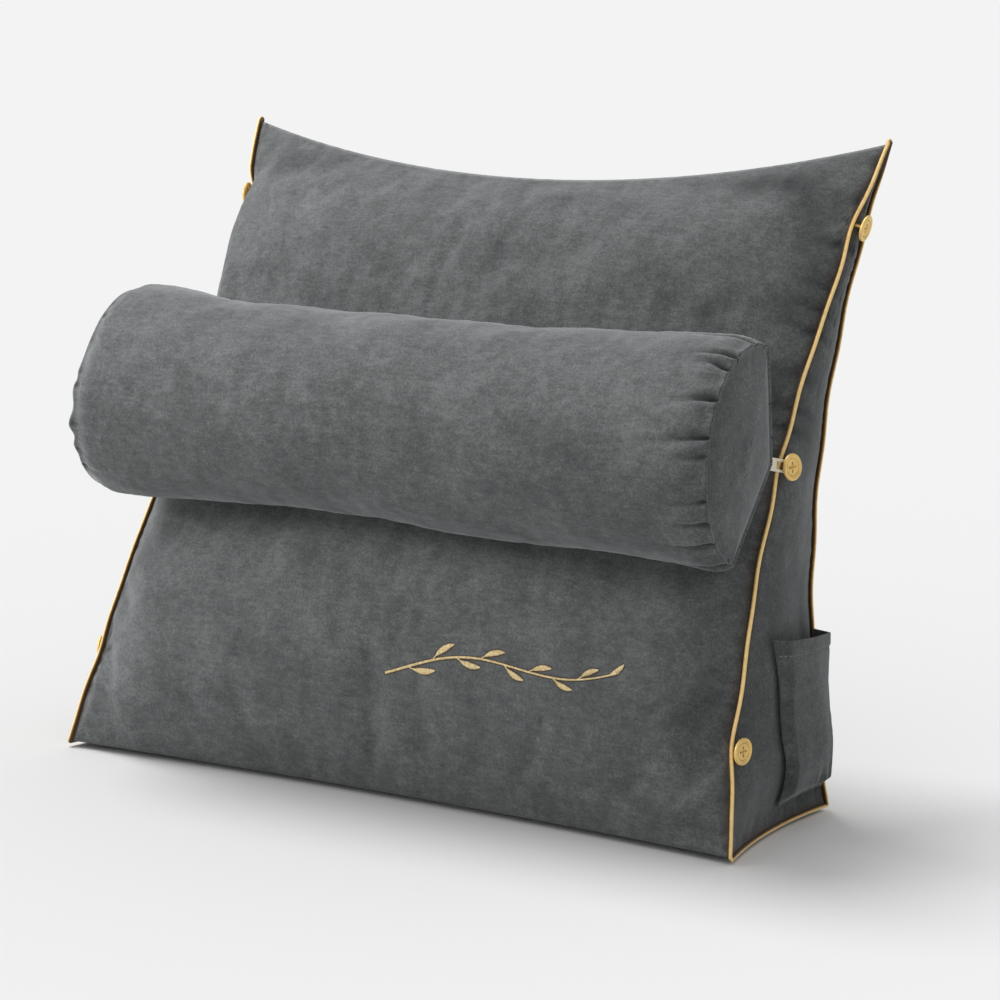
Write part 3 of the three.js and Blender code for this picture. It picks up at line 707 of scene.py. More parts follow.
# The gathers: short pleats that start at the end seams, each with puffs of cloth beside it
from_centre = points / MM - bolster_centre(points[:, 0] / MM / BOLSTER_HALF)
upwards = from_centre @ [0, math.sin(BOLSTER_TILT), math.cos(BOLSTER_TILT)]
forwards = from_centre @ [0, -math.cos(BOLSTER_TILT), math.sin(BOLSTER_TILT)]
angle_here = np.where(forwards > 0, np.arctan2(forwards / BOLSTER_DEEP, upwards / BOLSTER_TALL),
                      -np.arccos(np.clip(upwards / (BOLSTER_TALL + BOLSTER_FLARE), -1, 1)))
right_end = points[:, 0] > 0
pleated = np.zeros(len(points))
puffed = np.zeros(len(points))
random = np.random.default_rng(11)
for k in range(PLEATS):
    for end in (True, False):
        slant = random.uniform(-0.16, 0.16)
        size = random.uniform(0.6, 1.15)
        long = random.uniform(13, 30)
        beside = np.mod(angle_here - pleat_angle(k) + math.pi, 2 * math.pi) - math.pi
        beside = beside * SECTION_RADIUS + slant * from_end
        narrow = bell(beside / (1.25 + 0.055 * np.maximum(from_end, 0)))
        here = (right_end == end) * size * (1 if end else LEFT_PLEATS)
        fading = np.exp(-(np.maximum(from_end, 0) / long) ** 1.4)
        pleated += here * narrow * smooth(from_end / 1.6) * fading
        puffed += here * bell((np.abs(beside) - 5) / 3.6) * bell((from_end - 7) / 8)
on_tube = 1 - smooth((np.abs(normals_of(bolster_mesh)[:, 0]) - 0.3) / 0.35)
pleated *= on_tube
gathered = PUFF_HEIGHT * puffed * on_tube - FOLD_DEPTH * pleated
points += ((soft * smooth(from_end / 25) + gathered) * MM)[:, None] * normals_of(bolster_mesh)
for point in points:
    hit = wedge_tree.ray_cast(Vector((point[0], -0.5, point[2])), Vector((0, 1, 0)))[0]
    if hit:
        point[1] = min(point[1], hit.y - 0.4 * MM)
place(bolster_mesh, points)
# Painted light where the bolster faces up and to the left; painted shade in the bottoms of its pleats
mark(bolster_mesh, "painted_light_up_left", smooth(normals_of(bolster_mesh) @ UP_AND_LEFT))
mark(bolster_mesh, "painted_crease_shade", 0.9 * pleated)
dress(bolster_mesh, velvet)
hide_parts("neck_bolster")
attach(bolster, "root")

# The piping: gold satin bias strip folded over a cord and sewn into the seam round each side panel. Its
# flange goes down between the panels, where the satin is painted brown as its own shadow.
PIPING_RADIUS = 1.8
PIPING_GAP = 0.35
TIP_CLEARANCE = 0.35
ROLL_CLEARANCE = 0.8
CORD_RADIUS = 1.55
FLANGE = 2.6


def unit(vectors):
    return vectors / np.linalg.norm(vectors, axis=-1, keepdims=True)


def piping_route(side):
    """Points on the seam round a side panel and, for each, the way in which the piping stands off."""
    outwards = np.array([side, 0, 0])

    def standing(normal, share, v):
        sideways = unit(np.array([0.3 * side, np.sign(normal[1]), 0.2]))
        spread = smooth((v - 0.9) / 0.1)[:, None]
        return unit(unit(outwards + normal * share[:, None]) * (1 - spread) + sideways * spread)

    v = np.linspace(0, 1, 130)
    w = np.linspace(1, 0, 36)
    front_off = standing(FRONT_NORMAL, 1 - 0.7 * roll(v, side), v)
    back_off = standing(BACK_NORMAL, 0.35 + 0 * v, v)[::-1]
    down = np.tile(unit(np.array([side, 0, -0.5])), (len(w), 1))
    bends = np.linspace(0, math.pi, 9)[1:-1]
    over = unit(np.stack([0.2 * side + 0 * bends, -np.cos(bends), 0.2 + np.sin(bends)], -1))
    tip = np.tile(front_seam(1, side), (len(bends), 1))
    parts = np.array([0.25, 0.5, 0.75])[:, None]
    behind = unit(back_off[-1] * (1 - parts) + down[0] * parts)
    before = unit(down[-1] * (1 - parts) + front_off[0] * parts)
    seam = [front_seam(v, side), tip, back_seam(v[::-1], side), np.tile(end_seam(1, side), (3, 1)),
            end_seam(w, side), np.tile(end_seam(0, side), (3, 1))]
    off = np.concatenate([front_off, over, back_off, behind, down, before])
    rolled = np.zeros(len(off))
    rolled[:len(v)] = roll(v, side)
    return np.concatenate(seam), off, rolled


def new_group(name, *numbers):
    """A Geometry Nodes group that takes a geometry, these numbers and a material. Gives the group's
    nodes and its inputs."""
    group = bpy.data.node_groups.new(name, "GeometryNodeTree")
    kinds = ["Geometry", *["Float"] * len(numbers), "Material"]
    for word, kind in zip(("Geometry", *numbers, "Material"), kinds):
        group.interface.new_socket(name=word, in_out="INPUT", socket_type=f"NodeSocket{kind}")
    group.interface.new_socket(name="Geometry", in_out="OUTPUT", socket_type="NodeSocketGeometry")
    make = Nodes(group)
    given = group.nodes.new("NodeGroupInput")
    return make, [Part(make, given.outputs[i]) for i in range(len(kinds))]


def end_group(make, shape, material):
    """Makes a group's result real and smooth, and hands it out in its material."""
    real = make.node("GeometryNodeRealizeInstances", {}, {"Geometry": shape})
    smoothed = make.node("GeometryNodeSetShadeSmooth", {}, {"Geometry": real})
    done = make.node("GeometryNodeSetMaterial", {}, {"Geometry": smoothed, "Material": material})
    make.feed(make.tree.nodes.new("NodeGroupOutput").inputs[0], done)
    return make.tree


def piping_group():
    """Sweeps a round section with a flange along a closed line, and stores how far along and how near
    the crest each point lies."""
    make, (line, radius, flange, material) = new_group("piping", "Radius", "Flange")
    off = make.node("GeometryNodeInputNamedAttribute", {"data_type": "FLOAT_VECTOR"}, {"Name": "off"})
    curve = make.node("GeometryNodeMeshToCurve", {}, {"Mesh": line})
    curve = make.node("GeometryNodeSetCurveNormal", {"mode": "FREE"}, {"Curve": curve, "Normal": off})
    length = make.node("GeometryNodeSplineParameter", {}, {}, "Length")
    curve = make.node("GeometryNodeStoreNamedAttribute", {"data_type": "FLOAT", "domain": "POINT"},
                      {"Geometry": curve, "Name": "along", "Value": length})
    section = make.node("GeometryNodeCurvePrimitiveCircle", {}, {"Resolution": 20, "Radius": 1.0})
    x = make.node("ShaderNodeSeparateXYZ", {}, {0: make.node("GeometryNodeInputPosition")})
    y = Part(make, x.socket.node.outputs[1])
    section = make.node("GeometryNodeStoreNamedAttribute", {"data_type": "FLOAT", "domain": "POINT"},
                        {"Geometry": section, "Name": "crest", "Value": x})
    tail = (x.maths("MINIMUM", x, 0.0) * -1.0) ** 6.0
    moved = make.node("ShaderNodeCombineXYZ", {}, {
        "X": x * radius - tail * flange, "Y": y * radius * (1.0 - tail * 0.55)})
    section = make.node("GeometryNodeSetPosition", {}, {"Geometry": section, "Position": moved})
    swept = make.node("GeometryNodeCurveToMesh", {}, {"Curve": curve, "Profile Curve": section})
    return end_group(make, swept, material)


def run_group(made, group, **inputs):
    """Runs a Geometry Nodes group on a piece with these inputs, and keeps its result as a plain mesh."""
    modifier = made.modifiers.new(group.name, "NODES")
    modifier.node_group = group
    for item in group.interface.items_tree:
        if item.in_out == "INPUT" and item.name in inputs:
            modifier[item.identifier] = inputs[item.name]
    return finished(made)


def satin_finish():
    """Gold satin with a fine twill: painted bright on its crest as a highlight, painted brown as shade where
    it goes down into the seam.
    """
    satin = Finish("gold_satin", roughness=0.34, sheen_weight=0.15, sheen_roughness=0.4,
                   specular_ior_level=0.45)
    crest = satin.stored("crest")
    twill = (satin.stored("along") * 5200.0 + crest * 4.0).wave() * 0.5 + 0.5
    uneven = satin.noise(satin.place(), 260, 3)
    # Painted light: bright on the crest as a highlight, brown down the flanks and flange as shade
    tone = crest * 0.5 + 0.5 + (uneven - 0.5) * 0.2 + (twill - 0.5) * 0.06
    satin.colour(satin.ramp(
        tone, (0.4, (0.07, 0.036, 0.01)), (0.63, (0.22, 0.11, 0.022)), (0.82, (0.58, 0.34, 0.085)),
        (0.97, (0.95, 0.7, 0.3))))
    satin.bump(twill * 0.5 + uneven * 0.5, 0.00025, 0.5)
    return satin.material


satin = satin_finish()
sweep_piping = piping_group()
for word, side in (("right", 1), ("left", -1)):
    seam, off, rolled = piping_route(side)
    near_tip = smooth((seam[:, 2] - BASE_DROP - 0.9 * HEIGHT) / (0.06 * HEIGHT))
    stand = PIPING_RADIUS + PIPING_GAP + TIP_CLEARANCE * near_tip + ROLL_CLEARANCE * rolled
    centres = (seam + off * stand[:, None]) * MM
    route = bpy.data.meshes.new(f"piping_{word}")
    count = len(centres)
    route.from_pydata(centres.tolist(), [(i, (i + 1) % count) for i in range(count)], [])
    directions = route.attributes.new("off", "FLOAT_VECTOR", "POINT")
    directions.data.foreach_set("vector", off.ravel())
    piping = piece(f"satin_piping_{word}", route)
    run_group(piping, sweep_piping, Radius=CORD_RADIUS * MM, Flange=FLANGE * MM, Material=satin)
    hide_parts(f"piping_{word}")
    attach(piping, "root")

# The buttons: pale gold buttons cast with a raised rim, a ring of small dots and four holes, each sewn on
# with gold thread that is wound into a shank underneath. Their seats are read from their solids.
BUTTON_RIM = 3.2
HOLES = 4
HOLE_PLACE = 3.2
HOLE_RADIUS = 0.85
DOT_RING = 6.3
DOTS = 26
DOT_SIZE = 0.75
THREAD_TURNS = 7


def button_seat(name):
    """The middle of a button's underside, then two ways across it and its axis, from its solid."""
    mesh = frame["nodes"][name].data
    corners = points_of(mesh) / MM
    outwards = 1 if corners[:, 0].mean() > 0 else -1
    faces = [(face.area, np.array(face.normal)) for face in mesh.polygons if face.normal.x * outwards > 0.5]
    largest = max(faces, key=lambda face: face[0])[1]
    axis = unit(sum(area * normal for area, normal in faces if normal @ largest > 0.999))
    height = corners @ axis
    disc = np.unique(np.round(corners[height > height.max() - BUTTON_RIM - 0.01], 3), axis=0)
    middle = disc.mean(axis=0)
    middle += axis * (height.max() - BUTTON_RIM - middle @ axis)
    across = unit(np.cross(axis, [0, 0, 1]))
    return middle, np.stack([across, np.cross(axis, across), axis])


def turned_mesh(name, profile, count):
    """A closed shape turned about z, from radii and heights that start and end on the axis."""
    shape = bmesh.new()
    rings = []
    for radius, height in profile:
        angles = [2 * math.pi * k / count for k in range(count)] if radius else [0]
        rings.append([shape.verts.new((radius * math.cos(a), radius * math.sin(a), height)) for a in angles])
    for lower, upper in zip(rings, rings[1:]):
        for k in range(count):
            ring = [lower[k % len(lower)], lower[(k + 1) % len(lower)],
                    upper[(k + 1) % len(upper)], upper[k % len(upper)]]
            shape.faces.new(list(dict.fromkeys(ring)))
    bmesh.ops.recalc_face_normals(shape, faces=shape.faces)
    mesh = bpy.data.meshes.new(name)
    shape.to_mesh(mesh)
    shape.free()
    mesh.shade_smooth()
    return mesh


def seated(mesh, middle, ways):
    """Moves a mesh from its own millimetres to its seat on the pillow."""
    place(mesh, (points_of(mesh) @ ways + middle) * MM)


def stitch_group():
    """Lays one stitch after another along lines. Each lies on the surface whose normal is stored as
    off, and is as wide across the line as the number stored as wide says."""
    make, (line, spacing, along, wider, high, uneven, material) = new_group(
        "stitches", "Spacing", "Along", "Wider", "High", "Uneven")
    curve = make.node("GeometryNodeMeshToCurve", {}, {"Mesh": line})
    curve = make.node("GeometryNodeResampleCurve", {"mode": "LENGTH"}, {"Curve": curve, "Length": spacing})
    off = make.node("GeometryNodeInputNamedAttribute", {"data_type": "FLOAT_VECTOR"}, {"Name": "off"})
    wide = make.node("GeometryNodeInputNamedAttribute", {"data_type": "FLOAT"}, {"Name": "wide"})
    tangent = make.node("GeometryNodeInputTangent")
    facing = make.node("FunctionNodeAlignRotationToVector", {"axis": "Z"}, {"Vector": off})
    facing = make.node("FunctionNodeAlignRotationToVector", {"axis": "X", "pivot_axis": "Z"},
                       {"Rotation": facing, "Vector": tangent})
    chance = make.node("FunctionNodeRandomValue", {"data_type": "FLOAT"}, {2: -1.0, 3: 1.0, "Seed": 5}, 1)
    width = (wide + wider) * (1.0 + chance * uneven)
    size = make.node("ShaderNodeCombineXYZ", {}, {"X": along, "Y": width, "Z": high})
    strand = make.node("GeometryNodeMeshUVSphere", {}, {"Segments": 8, "Rings": 5, "Radius": 0.5})
    laid = make.node("GeometryNodeInstanceOnPoints", {}, {
        "Points": curve, "Instance": strand, "Rotation": facing, "Scale": size})
    return end_group(make, laid, material)


def lines_piece(name, lines):
    """A piece of plain lines to stitch along. Each line has its points, the normals under them, its
    widths, all in millimetres, and whether it closes."""
    mesh = bpy.data.meshes.new(name)
    edges = []
    start = 0
    for line, _, _, closed in lines:
        count = len(line)
        edges += [(start + i, start + (i + 1) % count) for i in range(count if closed else count - 1)]
        start += count
    mesh.from_pydata((np.concatenate([line for line, *_ in lines]) * MM).tolist(), edges, [])
    normals = np.concatenate([off for _, off, _, _ in lines])
    mesh.attributes.new("off", "FLOAT_VECTOR", "POINT").data.foreach_set("vector", normals.ravel())
    widths = np.concatenate([wide for _, _, wide, _ in lines]) * MM
    mesh.attributes.new("wide", "FLOAT", "POINT").data.foreach_set("value", widths)
    return piece(name, mesh)


def button_finish(name, colour, roughness):
    """Cast gold: softly glossy, with a fine grain and cloudy darker patches."""
    gold = Finish(name, roughness=roughness, metallic=0.25, specular_ior_level=0.5)
    at = gold.place()
    grain = gold.noise(at, 900, 3)
    cloud = gold.noise(at, 160, 2)
    darker = tuple(0.72 * part for part in colour)
    gold.colour(gold.ramp(grain * 0.5 + cloud * 0.5, (0.3, darker), (0.65, colour)))
    gold.bump(grain, 0.0002, 0.5)
    return gold.material


button_gold = button_finish("button_gold", (0.93, 0.63, 0.2), 0.4)
dot_bronze = button_finish("dot_bronze", (0.3, 0.15, 0.03), 0.5)
sewing_gold = button_finish("sewing_gold", (0.75, 0.48, 0.14), 0.6)
lay_stitches = stitch_group()
face_profile = [
    (0, 2.1), (4.8, 2.15), (6.9, 2.25), (7.4, 2.55), (7.9, 3.0), (8.5, 3.2), (9.2, 3.12), (9.75, 2.7),
    (10, 2.0), (9.95, 1.3), (9.5, 0.6), (8.6, 0.12), (7.6, 0), (3, 0), (0, 0)]
hole_cutter = piece("hole_cutter", turned_mesh("hole_cutter", [
    (0, -1), (HOLE_RADIUS, -1), (HOLE_RADIUS, 4), (0, 4)], 16))
plain_hole = points_of(hole_cutter.data)
up_the_shank = np.linspace(0, 1, 2 * THREAD_TURNS + 1)
for word in ("right", "left"):
    for number in (1, 2, 3):
        node = f"button_{word}_{number}"
        middle, ways = button_seat(node)
        face = piece(f"gold_{node}", turned_mesh(node, face_profile, 72))
        for hole in range(HOLES):
            angle = hole * math.pi / 2
            aside = [HOLE_PLACE * math.cos(angle), HOLE_PLACE * math.sin(angle), 0]
            place(hole_cutter.data, plain_hole + aside)
            drilled = face.modifiers.new("hole", "BOOLEAN")
            drilled.object = hole_cutter
            drilled.solver = "EXACT"
            finished(face)
        seated(face.data, middle, ways)
        dress(face.data, button_gold)
        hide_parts(node)
        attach(face, "root")

        angles = 2 * math.pi * np.arange(DOTS) / DOTS
        ring = np.stack([DOT_RING * np.cos(angles), DOT_RING * np.sin(angles), 2.2 + 0 * angles], -1)
        axis = np.tile(ways[2], (DOTS, 1))
        dots = lines_piece(f"dots_{word}_{number}", [
            (ring @ ways + middle, axis, np.full(DOTS, DOT_SIZE), True)])
        run_group(dots, lay_stitches, Spacing=2 * math.pi * DOT_RING / DOTS * MM, Along=DOT_SIZE * MM,
                  Wider=0.0, High=0.5 * MM, Uneven=0.0, Material=dot_bronze)
        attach(dots, "root")

        heights = (points_of(frame["nodes"][node].data) / MM - middle) @ ways[2]
        depth = -heights.min()
        wound = [(1.15 + 0.22 * math.cos(2 * math.pi * THREAD_TURNS * t), -depth * (1 - t) + 0.1 * t)
                 for t in up_the_shank]
        thread = piece(f"thread_{word}_{number}", turned_mesh(f"thread_{word}_{number}", [
            (0, -depth), *wound, (0, 0.1)], 20))
        seated(thread.data, middle, ways)
        thread.data.materials.append(sewing_gold)
        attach(thread, "root")
        crossing = []
        for quarter in (0, 1):
            angle = quarter * math.pi / 2
            reach = np.linspace(-HOLE_PLACE, HOLE_PLACE, 9)
            bow = 2.2 + 0.45 * (1 - (reach / HOLE_PLACE) ** 4) + 0.12 * quarter
            bar = np.stack([reach * math.cos(angle), reach * math.sin(angle), bow], -1)
            crossing.append((bar @ ways + middle, np.tile(ways[2], (9, 1)), np.full(9, 0.5), False))
        cross = lines_piece(f"cross_{word}_{number}", crossing)
        run_group(cross, lay_stitches, Spacing=0.4 * MM, Along=0.8 * MM, Wider=0.0, High=0.45 * MM,
                  Uneven=0.0, Material=sewing_gold)
        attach(cross, "root")
bpy.data.objects.remove(hole_cutter)

# The loops: woven cream elastic, sewn to the point at the back of each bolster end and slipped over the
# middle button. Its two strands part around the shank, and ribs run across it.
LOOP_HALF = 4.8
LOOP_STRAND = 1.9
LOOP_WEB = 13
LOOP_BACK = 2
RIB_SPACING = 1.5
BEND_PARTS = 10


def elastic_finish():
    """Cream elastic with ribs across its width and a fine weave along it."""
    elastic = Finish("cream_elastic", roughness=0.75, sheen_weight=0.2, sheen_roughness=0.5,
                     specular_ior_level=0.25)
    ribs = (elastic.stored("along") * (2 * math.pi / RIB_SPACING)).wave() * 0.5 + 0.5
    weave = elastic.noise(elastic.place(), 1400, 2)
    elastic.colour(elastic.ramp(
        ribs * 0.6 + weave * 0.55 - 0.05,
        (0.1, (0.4, 0.33, 0.19)), (0.5, (0.8, 0.73, 0.55)), (0.85, (0.93, 0.9, 0.77))))
    elastic.bump(ribs * 0.8 + weave * 0.3, 0.0004, 0.8)
    return elastic.material


def loop_mesh(name, length):
    """The elastic laid flat along x: one web from where it is sewn on, then two strands round a bend."""
    inner = LOOP_HALF - LOOP_STRAND
    shape = bmesh.new()
    measure = shape.verts.layers.float.new("along")

    def row(far, corners):
        made = [shape.verts.new((x, y, 0)) for x, y in corners]
        for vert in made:
            vert[measure] = far
        return made

    previous = None
    for x in np.append(np.linspace(0, LOOP_WEB, 8), np.linspace(LOOP_WEB, length, 14)[1:]):
        here = row(x, [(x, y) for y in (LOOP_HALF, inner, -inner, -LOOP_HALF)])
        if previous:
            for k in (0, 1, 2) if x <= LOOP_WEB + 0.01 else (0, 2):
                shape.faces.new([previous[k], previous[k + 1], here[k + 1], here[k]])
        previous = here
    outer_end, inner_end, inner_start, outer_start = previous
    bend = [outer_end, inner_end]
    for k in range(1, BEND_PARTS):
        angle = math.pi / 2 - k * math.pi / BEND_PARTS
        here = row(length + k * 1.2, [
            (length + r * math.cos(angle), r * math.sin(angle)) for r in (LOOP_HALF, inner)])
        shape.faces.new([*bend, here[1], here[0]])
        bend = here
    shape.faces.new([*bend, inner_start, outer_start])
    mesh = bpy.data.meshes.new(name)
    shape.to_mesh(mesh)
    shape.free()
    return mesh


elastic = elastic_finish()
for word, side in (("right", 1), ("left", -1)):
    low, high = (np.array(corner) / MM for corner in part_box(f"loop_{word}"))
    shank = front_seam(BUTTONS_AT[1], side)[1:] + [LOOP_BACK, 0]
    sewn = bolster_centre(np.array(float(side)))[1:]
    sewn = sewn + BOLSTER_POINT * np.array([math.cos(BOLSTER_TILT), -math.sin(BOLSTER_TILT)])
    length = float(np.linalg.norm(shank - sewn))
    mesh = loop_mesh(f"loop_{word}", length)
    along = np.array([0, *(shank - sewn)]) / length
    out = np.array([1.0, 0, 0])
    points = points_of(mesh)
    puffed = 0.25 * np.sin(points[:, 0] * 2.1) + 0.35 * bell((points[:, 0] - 3) / 3)
    ways = np.stack([along, np.cross(out, along), out])
    points[:, 2] = puffed * 0.4
    origin = np.array([(low[0] + high[0]) / 2, *sewn])
    place(mesh, (points @ ways + origin) * MM)
    loop = piece(f"elastic_loop_{word}", mesh)
    thick = loop.modifiers.new("thick", "SOLIDIFY")
    thick.thickness = (high[0] - low[0]) * MM * 0.85
    thick.offset = 0
    soft_edge = loop.modifiers.new("soft_edge", "BEVEL")
    soft_edge.width = 0.45 * MM
    soft_edge.segments = 3
    mesh = finished(loop)
    mesh.shade_smooth()
    dress(mesh, elastic)
    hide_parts(f"loop_{word}")
    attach(loop, "root")

# The pocket: a patch of the same velvet on the right side panel. It is sewn on along its front edge, the
# back seam and its bottom, is folded so that it stands off the panel, and has a stitched hem at its mouth.
POCKET_BOTTOM = 20
POCKET_TOP = (146, 139)
POCKET_FRONT = (8, -3)
POCKET_BACK_INSET = 2.4
POCKET_ROOM = (13, 16)
POCKET_CLOTH = 2.2
POCKET_GAP = 1
POCKET_FOLD = 0.09
POCKET_TUCK = 1.5
HEM_AT = 0.915
HEM_POINTS = 60


def side_x(y, z):
    """How far the sewn and filled right side panel stands out beside points of the y, z plane."""
    x = np.empty(y.shape)
    for i in np.ndindex(y.shape):
        hit = wedge_tree.ray_cast(Vector((0.6, y[i] * MM, z[i] * MM)), Vector((-1, 0, 0)))[0]
        x[i] = hit.x / MM
    return x


def pocket_face(p, q):
    """The outside of the pocket: p runs from its front edge to the back seam, q from its bottom up."""
    top = POCKET_TOP[0] * (1 - p) + POCKET_TOP[1] * p
    z = POCKET_BOTTOM + (top - POCKET_BOTTOM) * q
    back = back_seam((z - BASE_DROP) / HEIGHT, 1)[..., 1] - POCKET_BACK_INSET
    front = POCKET_FRONT[0] * (1 - q) + POCKET_FRONT[1] * q
    y = front * (1 - p) + back * p
    before_fold = np.clip(p / POCKET_FOLD, 0, 1)
    opened = 0.55 * before_fold + 0.45 * smooth((p - 0.5 * POCKET_FOLD) / 0.75)
    opened *= 1 - smooth((p - 0.88) / 0.12) * 0.96
    room = (POCKET_ROOM[0] + (POCKET_ROOM[1] - POCKET_ROOM[0]) * q) * opened * smooth(q / 0.09)
    hem = 0.7 * smooth((q - HEM_AT) / 0.012) - 0.5 * bell((q - HEM_AT) / 0.012)
    tucks = POCKET_TUCK * smooth((p - 0.45) / 0.25) * np.sin(34 * p + 9 * q) * bell((q - 0.07) / 0.09)
    tucks *= smooth(q / 0.03)
    slack = 0.7 * np.sin(5.2 * p + 7.5 * q) * np.sin(math.pi * q) + 0.35 * np.sin(15 * q + 4 * p) * (1 - p)
    rim = 0.8 * bell(p / 0.03)
    x = side_x(y, z) + POCKET_GAP + POCKET_CLOTH + room + (hem + tucks + slack) * smooth(p / 0.05) + rim
    return np.stack([x, y, z], -1)


pocket = piece("pocket_cover", sewn_mesh("pocket_cover", [
    panel(pocket_face, np.linspace(0, 1, 61), np.linspace(0, 1, 81), False, "")]))
cloth = pocket.modifiers.new("cloth", "SOLIDIFY")
cloth.thickness = 1.7 * MM
cloth.offset = -1
rounded = pocket.modifiers.new("rounded", "BEVEL")
rounded.width = 0.5 * MM
rounded.segments = 2
rounded.limit_method = "ANGLE"
rounded.angle_limit = math.radians(60)
pocket_mesh = finished(pocket)
pocket_mesh.shade_smooth()
dress(pocket_mesh, velvet)
hem_thread = button_finish("hem_thread", (0.3, 0.31, 0.31), 0.8)
p = np.linspace(0.03, 0.97, HEM_POINTS)
hem_line = pocket_face(p, np.full(HEM_POINTS, HEM_AT - 0.004))
hem_side = pocket_face(p, np.full(HEM_POINTS, HEM_AT - 0.02))
outwards = unit(np.cross(np.gradient(hem_line, axis=0), hem_line - hem_side))
stitches = lines_piece("hem_stitches", [
    (hem_line + 0.15 * outwards, outwards, np.full(HEM_POINTS, 0.7), False)])
run_group(stitches, lay_stitches, Spacing=3.4 * MM, Along=2.3 * MM, Wider=0.0, High=0.5 * MM, Uneven=0.1,
          Material=hem_thread)
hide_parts("pocket")
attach(pocket, "root")
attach(stitches, "root")

# The embroidery: a plain leafy sprig in gold satin stitch, low on the right of the front panel. Near-black
# stitches laid first show round it as a painted shadow outline.
SPRIG_AT = (104, 116)
SPRIG_HALF = 98
SPRIG_RISE = 13
STEM_WAVE = 9
STEM_WIDTH = 2.3
LEAVES = 9
LEAF_ANGLE = 0.75
LEAF_CURL = 0.35


def on_front(across_by, up_by):
    """Points of the front panel and its normals there, from millimetres across and up the sprig."""
    slope = math.atan2(TOP_BACK, HEIGHT)
    found = []
    for a, b in zip(across_by, up_by):
        start = Vector(((SPRIG_AT[0] + a) * MM, -0.6, (SPRIG_AT[1] + b * math.cos(slope)) * MM))
        hit, normal, _, _ = wedge_tree.ray_cast(start, Vector((0, 1, 0)))
        found.append((*hit, *normal))
    found = np.array(found)
    return found[:, :3] / MM, found[:, 3:]


def stem_place(t):
    """The stem's points, from its foot at 0 to its tip at 1."""
    across_by = SPRIG_HALF * (2 * t - 1)
    return across_by, SPRIG_RISE * (2 * t - 1) + STEM_WAVE * np.sin(2 * math.pi * (t - 0.08))


def sprig_lines(grow):
    """The stem and the leaves, each leaf stitched from side to side over its midrib."""
    t = np.linspace(0, 1, 120)
    a, b = stem_place(t)
    line, off = on_front(a, b)
    lines = [(line, off, STEM_WIDTH - 0.9 * t, False)]
    for k in range(LEAVES):
        at = 0.1 + 0.85 * k / (LEAVES - 1)
        foot = np.array(stem_place(at))
        ahead = np.array(stem_place(at + 0.01)) - foot
        way = 1 if k % 2 else -1
        bend = math.atan2(ahead[1], ahead[0]) + way * LEAF_ANGLE * (k < LEAVES - 1)
        long = 25 - 9 * at
        r = np.linspace(0, 1, 26)
        curl = bend - way * LEAF_CURL * r
        a = foot[0] + long * r * np.cos(curl)
        b = foot[1] + long * r * np.sin(curl)
        wide = 1.1 + (4.6 - 1.4 * at) * np.sin(math.pi * np.clip((r - 0.22) / 0.78, 0, 1)) ** 0.8
        line, off = on_front(a, b)
        lines.append((line, off, wide, False))
    return [(line + grow * off, off, wide, closed) for line, off, wide, closed in lines]


def thread_finish(name, dark, light):
    """Rayon embroidery thread: lustrous, each strand with its own shade."""
    thread = Finish(name, roughness=0.36, sheen_weight=0.2, sheen_roughness=0.3, specular_ior_level=0.5)
    shade = thread.noise(thread.place(), 700, 3, 0.6)
    thread.colour(thread.ramp(shade, (0.3, dark), (0.7, light)))
    return thread.material


gold_thread = thread_finish("gold_thread", (0.55, 0.37, 0.14), (0.95, 0.83, 0.52))
# Painted shadow: near-black thread for the outline round the gold
bronze_thread = thread_finish("bronze_thread", (0.03, 0.018, 0.006), (0.08, 0.05, 0.018))
underlay = lines_piece("sprig_outline", sprig_lines(0.0))
run_group(underlay, lay_stitches, Spacing=0.7 * MM, Along=0.9 * MM, Wider=1.9 * MM, High=0.5 * MM,
          Uneven=0.05, Material=bronze_thread)
sprig = lines_piece("gold_sprig", sprig_lines(0.25))
run_group(sprig, lay_stitches, Spacing=0.42 * MM, Along=0.56 * MM, Wider=0.0, High=1.0 * MM, Uneven=0.04,
          Material=gold_thread)
for made in (underlay, sprig):
    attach(made, "root")

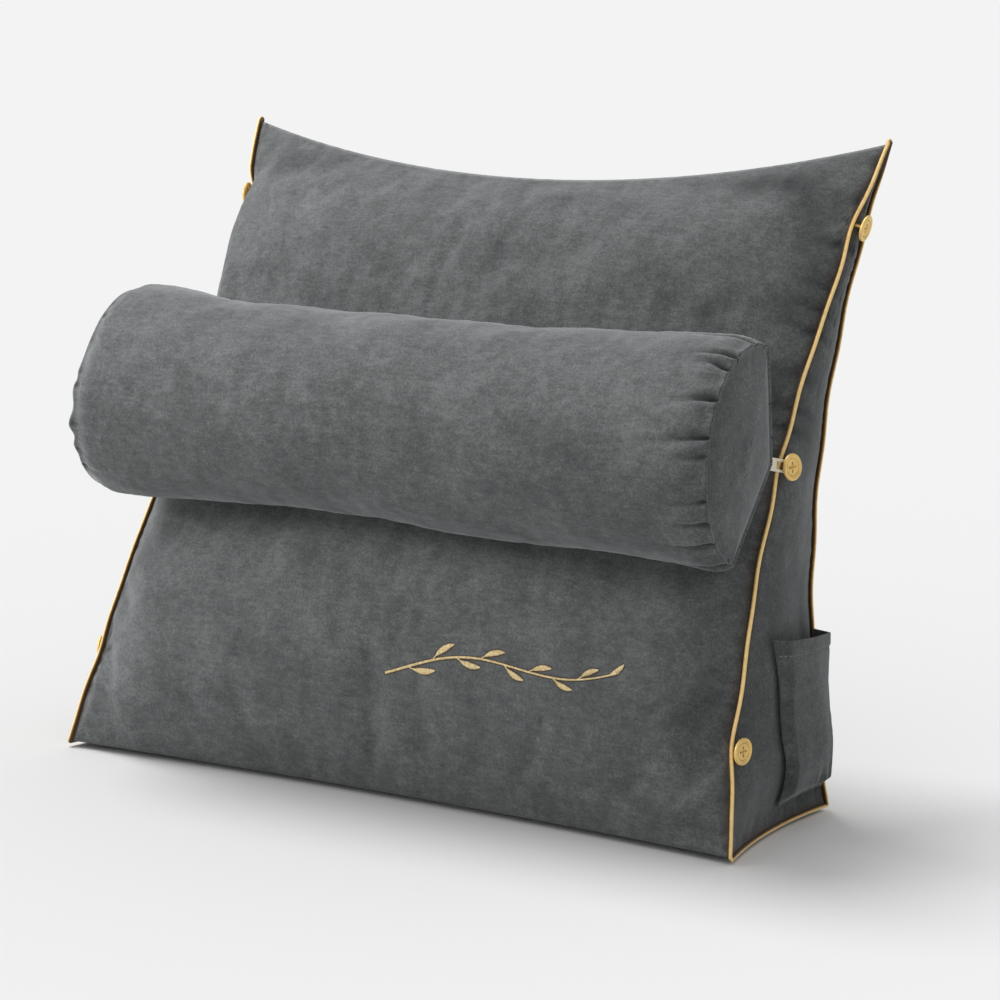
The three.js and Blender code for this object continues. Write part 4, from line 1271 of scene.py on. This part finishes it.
# The floor, the light and the camera: an even white floor that runs into a background of the same tone,
# light from high up on the left, and a soft box near the left of the pillow that lights the pillow alone
FLOOR = 40
FLOOR_TONE = 0.865
floor_mesh = bpy.data.meshes.new("floor")
floor_mesh.from_pydata([(-FLOOR, -FLOOR, 0), (FLOOR, -FLOOR, 0), (FLOOR, FLOOR, 0), (-FLOOR, FLOOR, 0)],
                       [], [(0, 1, 2, 3)])
floor = piece("floor", floor_mesh)
paper = Finish("pale_floor", roughness=1.0, specular_ior_level=0.0, base_color=(*[FLOOR_TONE] * 3, 1))
floor_mesh.materials.append(paper.material)

BACKGROUND = 0.896
SKY_LIGHT = 0.54
world = bpy.data.worlds.new("studio")
bpy.context.scene.world = world
world.use_nodes = True
sky = Nodes(world.node_tree)
seen = sky.node("ShaderNodeLightPath")
background = world.node_tree.nodes["Background"]
sky.feed(background.inputs["Strength"], seen * (BACKGROUND - SKY_LIGHT) + SKY_LIGHT)
background.inputs["Color"].default_value = (1, 1, 1, 1)

# The camera was fitted to the seams in the photograph, whose focal length is given in its pixels
EYE = Vector((1.23770, -1.87723, 0.63264))
TARGET = Vector((0.10927, -0.080, 0.24313))
FOCAL_PIXELS = 2980.16
IMAGE_WIDTH = 1000
SENSOR_WIDTH = 36


def lamp(name, kind, place_at, towards):
    made = bpy.data.objects.new(name, bpy.data.lights.new(name, kind))
    bpy.context.scene.collection.objects.link(made)
    made.location = place_at
    made.rotation_euler = (Vector(towards) - Vector(place_at)).to_track_quat("-Z", "Y").to_euler()
    return made


high_left = lamp("high_left", "SUN", (-1.5, 0.3, 3), (0, 0, 0))
high_left.data.energy = 1.75
high_left.data.angle = math.radians(28)
soft_box = lamp("soft_box", "AREA", (-1.1, -0.95, 1.0), (0, 0, 0.2))
soft_box.data.shape = "DISK"
soft_box.data.size = 0.7
soft_box.data.energy = 18.5
pillow_alone = bpy.data.collections.new("pillow_alone")
for made in bpy.context.scene.objects:
    if made.type == "MESH" and made is not floor:
        pillow_alone.objects.link(made)
soft_box.light_linking.receiver_collection = pillow_alone

lens = bpy.data.cameras.new("camera")
lens.sensor_width = SENSOR_WIDTH
lens.lens = FOCAL_PIXELS / IMAGE_WIDTH * SENSOR_WIDTH
camera = bpy.data.objects.new("camera", lens)
bpy.context.scene.collection.objects.link(camera)
camera.location = EYE
camera.rotation_euler = (TARGET - EYE).to_track_quat("-Z", "Y").to_euler()
bpy.context.scene.camera = camera
bpy.context.scene.view_settings.view_transform = "Standard"
